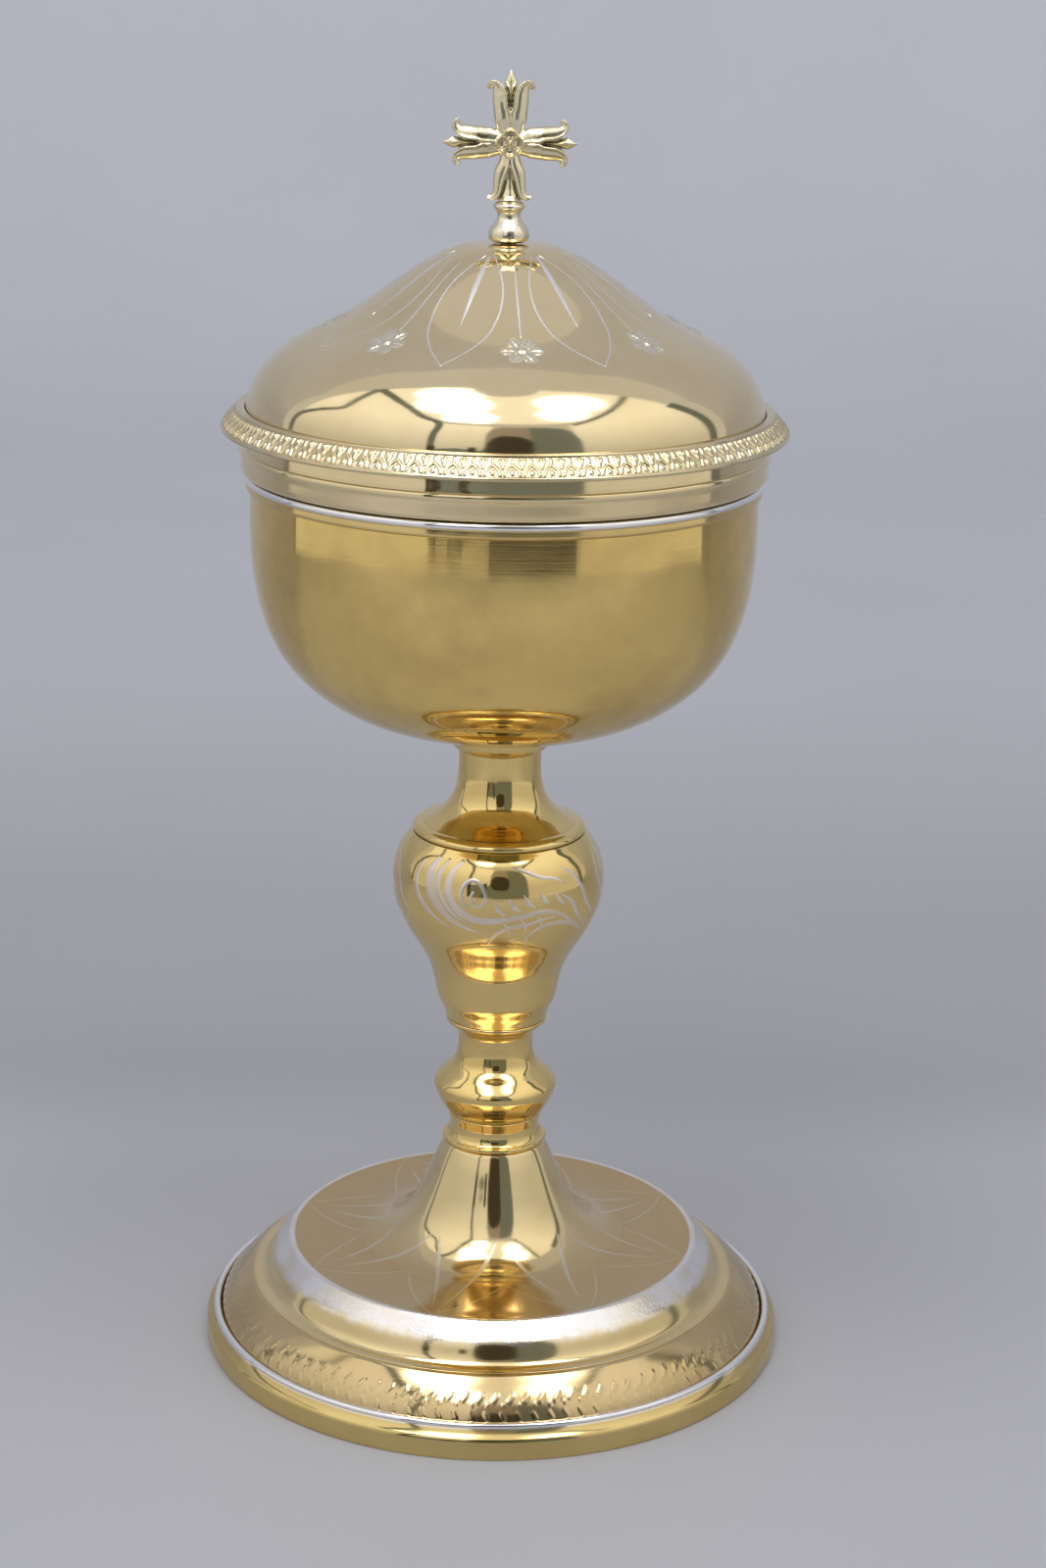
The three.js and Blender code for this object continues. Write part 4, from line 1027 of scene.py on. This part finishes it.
def cup():
    o = Outline(0, CUP_BOTTOM).line(14, CUP_BOTTOM, 4).cubic(26, 142.9, 37, 147.3, 44.5, 155.3, 40)
    o.cubic(50.5, 161.9, 53.7, 171.5, CUP_RADIUS, 186, 40).line(CUP_RADIUS, CUP_LIP, 12)
    lathe("cup", shell(o, CUP_WALL, 4), WIDE_COLUMNS)


def cup_bead():
    inner, outer = 54.1, 54.6
    o = Outline(inner, CUP_BEAD_BOTTOM).line(outer, 194.9, 3).line(outer, 196.0, 3)
    o.arc(54.15, CUP_BEAD_MIDDLE, 0.88, -60, 90).line(inner, CUP_BEAD_BOTTOM, 3)
    lathe("cup_bead", o.points, WIDE_COLUMNS)


def lid_border():
    """A cast ring of water leaves: pointed arches with a bud in each and a fan between them."""
    o = Outline(59.45, 208.0).line(56.55, 211.2, 22).arc(56.15, 211.45, 0.42, 20, 150, 5)
    o.line(54.75, 211.6, 1).line(55.35, DOME_BOTTOM, 2).line(59.3, DOME_BOTTOM, 1)
    o.arc(59.3, 207.5, 0.48, -90, 70, 6)
    strokes = [
        ((-1.5, 0.35), (-1.1, 1.5), 0.30, 0.24), ((-1.1, 1.5), (0, 2.7), 0.28, 0.26),
        ((1.5, 0.35), (1.15, 1.5), 0.36, 0.28), ((1.15, 1.5), (0, 2.7), 0.34, 0.30),
        ((0, 0.7), (0, 1.15), 0.52, 0.28),
        ((1.94, 1.9), (1.94, 3.9), 0.33, 0.27), ((1.94, 1.9), (1.25, 3.8), 0.27, 0.22),
        ((1.94, 1.9), (2.63, 3.8), 0.27, 0.22), ((0, 3.1), (0, 3.9), 0.34, 0.24),
    ]
    relief = repeated(strokes, LID_BORDER_REPEATS, LID_BORDER_MIDDLE)
    lathe("lid_border", o.points, LID_BORDER_REPEATS * LID_BORDER_COLUMNS, relief)


def lid_skirt():
    o = Outline(SKIRT_INNER, SKIRT_BOTTOM).line(55.1, SKIRT_BOTTOM, 2).line(55.6, 198.9, 3)
    o.line(SKIRT_OUTER, 202.0, 4).quad(56.1, 202.4, 56.1, 202.9).quad(56.1, 203.4, SKIRT_OUTER, 203.8)
    o.line(SKIRT_OUTER, SKIRT_TOP, 4).line(SKIRT_INNER, SKIRT_TOP, 2).line(SKIRT_INNER, SKIRT_BOTTOM, 3)
    lathe("lid_skirt", o.points, WIDE_COLUMNS)


ENGRAVED_ABOVE = 222


def lid_dome():
    o = Outline(55.3, DOME_BOTTOM).line(54.7, 210.4, 6).cubic(54.3, 215.6, 51.8, 220.6, 45, 224.9, 30)
    o.cubic(40.5, 227.6, 36, 229, 30, 233, 24).cubic(24.5, 236.7, 17.2, 242.9, 10, 245.2, 24)
    o.quad(7.5, 245.8, 5, DOME_TOP)
    skin = Skin([p for p in o.points if p[1] > ENGRAVED_ABOVE], False)
    o.line(STUD_HOLE, DOME_TOP, 3)
    lathe("lid_dome", shell(o, DOME_WALL, 4), WIDE_COLUMNS)
    dome_engraving(skin)


FIRST_DAISY = 5.2
DAISY_RADIUS = 37


def dome_engraving(skin):
    """Eight lanceolate leaves with a bright cut in each, and eight daisies between them."""
    lines = LineWork(skin)
    flowers = LineWork(skin)
    edge = [(12, 0.8), (15.5, 2.9), (20, 5.4), (25, 6.7), (29, 6.7), (33, 6), (38, 3.5), (42.5, 0)]
    for k in range(LEAVES):
        flower = FIRST_DAISY + 360 / LEAVES * k
        leaf = flower + 180 / LEAVES
        for side in (-1, 1):
            places = [beside(leaf, along, side * across) for along, across in edge]
            lines.ribbon(places, (0.1, 0.22, 0.24, 0.24, 0.2, 0.16))
        lines.ribbon([(leaf, 12.5), (leaf, 18), (leaf, 24), (leaf, 31)], (0.35, 0.8, 0.72, 0.42, 0.05))
        lines.ribbon([(flower, 15), (flower, 22), (flower, 33.2)], (0.12, 0.26, 0.22))
        for p in range(DAISY_PETALS):
            turn = TAU * (p + 0.5) / DAISY_PETALS
            place = beside(flower, DAISY_RADIUS + 2.5 * math.cos(turn), 2.7 * math.sin(turn))
            flowers.petal(place, turn, length=3.9, width=3.1, height=0.26, ribs=3)
        flowers.petal((flower, DAISY_RADIUS), 0, length=2.2, width=2.2, height=0.34)
    lines.finish("dome_engraving")
    flowers.finish("dome_daisies")


STUD_END = 251


def baluster():
    o = Outline(0, STUD_END).line(STUD_HOLE, STUD_END, 2).line(STUD_HOLE, BALUSTER_BOTTOM, 4)
    o.line(3.2, BALUSTER_BOTTOM, 3)
    o.smooth([(3.85, 246.3), (4.25, 246.9), (4.32, 247.6), (4.1, 248.5), (3.6, 249.3), (2.9, 250.2),
              (2.5, 250.9), (2.45, 251.8), (2.9, 252.5), (3.38, 253.1), (3.25, 253.7), (2.5, 254.3)])
    o.line(0, BALUSTER_TOP, 3)
    lathe("finial_baluster", o.points, BALUSTER_COLUMNS)


# The cast cross

# Each place on a petal: how far along the arm, how far from its middle, half width, half depth.
PETAL = [(1.4, 1.1, 1.25, 1.3), (3.3, 1.35, 1.5, 1.65), (4.6, 1.6, 1.7, 1.9), (5.9, 1.68, 1.78, 2.0),
         (6.8, 1.93, 1.6, 2.0), (8.0, 2.06, 1.56, 1.9), (9.4, 2.18, 1.5, 1.7), (10.4, 2.45, 1.3, 1.45),
         (11.25, 2.95, 1.0, 1.2), (11.55, 3.65, 0.82, 1.0), (11.2, 4.3, 0.68, 0.85),
         (10.6, 4.6, 0.5, 0.6)]
LOW_PETAL = [(1.4, 0.9, 1.0, 1.2), (3.3, 1.0, 1.15, 1.5), (4.6, 1.3, 1.35, 1.7), (6.0, 1.85, 1.4, 1.7),
             (7.75, 2.25, 1.15, 1.55), (9.5, 2.5, 0.95, 1.35), (10.4, 2.8, 0.85, 1.2),
             (10.95, 3.4, 0.72, 1.0), (11.05, 3.95, 0.62, 0.85), (10.7, 4.45, 0.48, 0.6)]
BUD = [(4.5, 0, 0.4, 0.6), (7.0, 0, 0.5, 0.85), (9.2, 0, 0.62, 0.95), (10.3, 0, 0.8, 1.0),
       (11.3, 0, 1.12, 1.05), (12.2, 0, 1.28, 1.0), (13.1, 0, 0.85, 0.75), (13.9, 0, 0.4, 0.4),
       (14.4, 0, 0.1, 0.1)]
# Each arm: its turn from upright in degrees, its size, and whether a bud stands between its petals.
ARMS = [(0, 1.02, True), (90, 0.97, True), (180, 1.0, False), (270, 0.97, True)]
HEART = (2.6, 1.9, 2.6)
# The turned stalk behind the lower arm, from the baluster up.
STALK = [(0, -11.6), (2.6, -11.6), (1.9, -10.8), (1.35, -9.3), (1.0, -7.5), (0.9, -6), (1.0, -3), (0, -3)]
LOFT_STEPS, LOFT_SIDES = 48, 32
LOFT_CURVE_STEP = 0.02
BALL_STEPS, BALL_SIDES = 12, 24
CAST_GRAIN = 0.13
# how far the rays reach that set the painted shade and patina in the cast's hollows
SHADE_AND_PATINA_REACH = 2.2


def loft(stations, side, section):
    """A closed body through the stations of one petal or bud, for an arm that points up."""
    stations = np.array(stations, float)
    run = run_along(stations[:, :2])
    steps = np.linspace(0, run[-1], LOFT_STEPS)
    fine = spline(np.column_stack([stations[:, 1], np.zeros(len(stations)), stations[:, 0]]), LOFT_CURVE_STEP)
    fine_run = np.linspace(0, run[-1], len(fine))
    middle = np.column_stack([np.interp(steps, fine_run, fine[:, i]) for i in range(3)])
    half, depth = np.interp(steps, run, stations[:, 2]), np.interp(steps, run, stations[:, 3])
    along = unit(np.gradient(middle, axis=0))
    out = np.column_stack([along[:, 2], np.zeros(LOFT_STEPS), -along[:, 0]])
    across, rise = section(np.arange(LOFT_SIDES) / LOFT_SIDES * TAU)
    rings = middle[:, None] + out[:, None] * (half[:, None] * across)[..., None]
    rings[..., 1] += depth[:, None] * rise
    rings[..., 0] *= side
    vertices = np.vstack([rings.reshape(-1, 3), rings[0].mean(0), rings[-1].mean(0)])
    return vertices, flipped(capped_rings(LOFT_STEPS, LOFT_SIDES))


def petal_section(angle):
    """Deepest at its inner edge, as a pair of petals makes one round tube, with a low rim there."""
    u = np.cos(angle)
    tube = np.sqrt(np.clip(1 - ((u + 1) / 2) ** 2, 0, None))
    edge = np.clip(np.abs(np.sin(angle)) / 0.45, 0, 1) ** 0.5
    rim = 0.08 * np.exp(-((u + 0.75) / 0.2) ** 2)
    groove = 0.05 * np.exp(-((u + 0.35) / 0.22) ** 2)
    return u, np.sign(np.sin(angle)) * np.maximum(tube, 0.12) * edge * (1 + rim - groove)


def bud_section(angle):
    """A four-sided section with a ridge in front."""
    c, s = np.cos(angle), np.sin(angle)
    return np.sign(c) * np.abs(c) ** 1.5, np.sign(s) * np.abs(s) ** 1.5


def ball(radii):
    """A closed ellipsoid round the cross's middle."""
    turn = np.arange(BALL_SIDES) / BALL_SIDES * TAU
    tilt = np.arange(1, BALL_STEPS) / BALL_STEPS * math.pi
    level = np.repeat(np.cos(tilt)[:, None], BALL_SIDES, 1)
    grid = np.stack([np.outer(np.sin(tilt), np.cos(turn)), np.outer(np.sin(tilt), np.sin(turn)), level], -1)
    vertices = np.vstack([grid.reshape(-1, 3), (0, 0, 1), (0, 0, -1)]) * radii
    return vertices, capped_rings(BALL_STEPS - 1, BALL_SIDES)


ROSETTE_REACH = 3.0  # from the rosette's middle to the tips of its petals
ROSETTE_NOTCH = 0.06  # how much less, as a share, it reaches between them
ROSETTE_BASE = 1.55  # its hollow's height above the cross's middle plane
ROSETTE_EDGE = 1.6
ROSETTE_PEAK = 2.15
ROSETTE_REAR = 0.4
ROSETTE_RINGS, ROSETTE_SIDES = 22, 64


def rosette(face):
    """Four cupped petals with raised rims, a ridge between each two and a bead in the middle."""
    shares = np.linspace(0.04, 1, ROSETTE_RINGS)
    turn = np.arange(ROSETTE_SIDES) / ROSETTE_SIDES * TAU
    reach = ROSETTE_REACH * (1 - ROSETTE_NOTCH + ROSETTE_NOTCH * np.cos(4 * turn))
    share, turns = np.meshgrid(shares, turn, indexing="ij")
    between = np.exp(-((1 - np.abs(np.sin(2 * turns))) / 0.10) ** 2)
    ridge = between * np.sin(math.pi * np.clip(share, 0, 1)) ** 0.5
    rim = np.exp(-((share - 0.88) / 0.10) ** 2)
    bead = np.exp(-(share / 0.17) ** 2)
    height = ROSETTE_BASE + 0.95 * rim + 0.75 * ridge * (1 - rim) + 0.6 * bead
    height[-1] = ROSETTE_EDGE
    spread = share * reach
    front = np.stack([spread * np.sin(turns), face * height, spread * np.cos(turns)], -1).reshape(-1, 3)
    back = 0.8 * reach
    rear = np.column_stack([back * np.sin(turn), np.full(ROSETTE_SIDES, face * ROSETTE_REAR),
                            back * np.cos(turn)])
    vertices = np.vstack([front, rear, (0, face * ROSETTE_PEAK, 0), (0, face * ROSETTE_REAR, 0)])
    faces = flipped(capped_rings(ROSETTE_RINGS + 1, ROSETTE_SIDES))
    return vertices, faces if face < 0 else [loop[::-1] for loop in faces]


def cross_bodies():
    """The closed bodies that the cross is cast from, about its middle."""
    bodies = []
    for turn, size, bud in ARMS:
        arm = [loft(PETAL if bud else LOW_PETAL, side, petal_section) for side in (-1, 1)]
        if bud:
            arm.append(loft(BUD, 1, bud_section))
        spin = np.array(Matrix.Rotation(math.radians(turn), 3, "Y"))
        bodies += [(vertices * size @ spin.T, faces) for vertices, faces in arm]
    bodies.append(ball(HEART))
    bodies += [rosette(face) for face in (-1, 1)]
    vertices, faces = revolve(STALK, LOFT_SIDES)
    bodies.append((vertices / MM, faces))
    return bodies


def remeshed(bodies, grain):
    """Joins overlapping closed bodies into one skin of even small faces."""
    thing = new_object("rough_cast", *joined(bodies))
    remesh = thing.modifiers.new("remesh", "REMESH")
    remesh.mode = "VOXEL"
    remesh.voxel_size = grain
    smooth = thing.modifiers.new("smooth", "SMOOTH")
    smooth.factor = 0.5
    smooth.iterations = 3
    graph = bpy.context.evaluated_depsgraph_get()
    done = bpy.data.meshes.new_from_object(thing.evaluated_get(graph))
    found = np.array([v.co[:] for v in done.vertices])
    quads = [tuple(p.vertices) for p in done.polygons]
    bpy.data.meshes.remove(thing.data)  # which takes its object along
    bpy.data.meshes.remove(done)
    return found, quads


# The rays that feel round each vertex: their tilt from its normal and their azimuths.
FEELERS = [(0, [0]), (35, range(0, 360, 90)), (65, range(30, 390, 60))]
FEELER_START = 0.02  # the share of a ray's reach that it starts above its vertex


def note_hollows(thing, reach):
    """Stores how shut in each vertex is, for the painted shade and dark patina in the cast's deep places."""
    mesh = thing.data
    tree = BVHTree.FromPolygons([v.co[:] for v in mesh.vertices], [p.vertices[:] for p in mesh.polygons])
    rays = []
    for tilt, azimuths in FEELERS:
        level, lift = math.sin(math.radians(tilt)), math.cos(math.radians(tilt))
        for azimuth in map(math.radians, azimuths):
            rays.append(Vector((level * math.cos(azimuth), level * math.sin(azimuth), lift)))
    up = Vector((0, 0, 1))
    shares = []
    for vertex in mesh.vertices:
        turn = up.rotation_difference(vertex.normal)
        start = vertex.co + vertex.normal * reach * FEELER_START
        struck = sum(tree.ray_cast(start, turn @ ray, reach)[0] is not None for ray in rays)
        shares.append(struck / len(rays))
    attribute = mesh.attributes.new("hollow", "FLOAT", "POINT")
    attribute.data.foreach_set("value", shares)


def finial_cross():
    vertices, faces = remeshed(cross_bodies(), CAST_GRAIN)
    vertices = (vertices + (0, 0, CROSS_MIDDLE)) * MM
    note_hollows(make_object("finial_cross", vertices, faces, CAST_SHARP_TURN), SHADE_AND_PATINA_REACH * MM)


make_camera()
make_studio()
for make in (foot_base_ring, foot_border, foot_shell, lower_collar, lower_knop, knop_foot_ring, knop_top_ring,
             neck, knop, cup, cup_bead, lid_skirt, lid_border, lid_dome, baluster, finial_cross):
    make()

# The pieces that are hidden inside stay the frame's own, in plain brass.
HIDDEN = ("tie_rod", "foot_washer", "foot_nut", "cup_socket", "finial_washer", "finial_nut", "finial_stud")
for name in HIDDEN:
    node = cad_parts[name]
    node.data.materials.clear()
    node.data.materials.append(metals["plain_brass"])
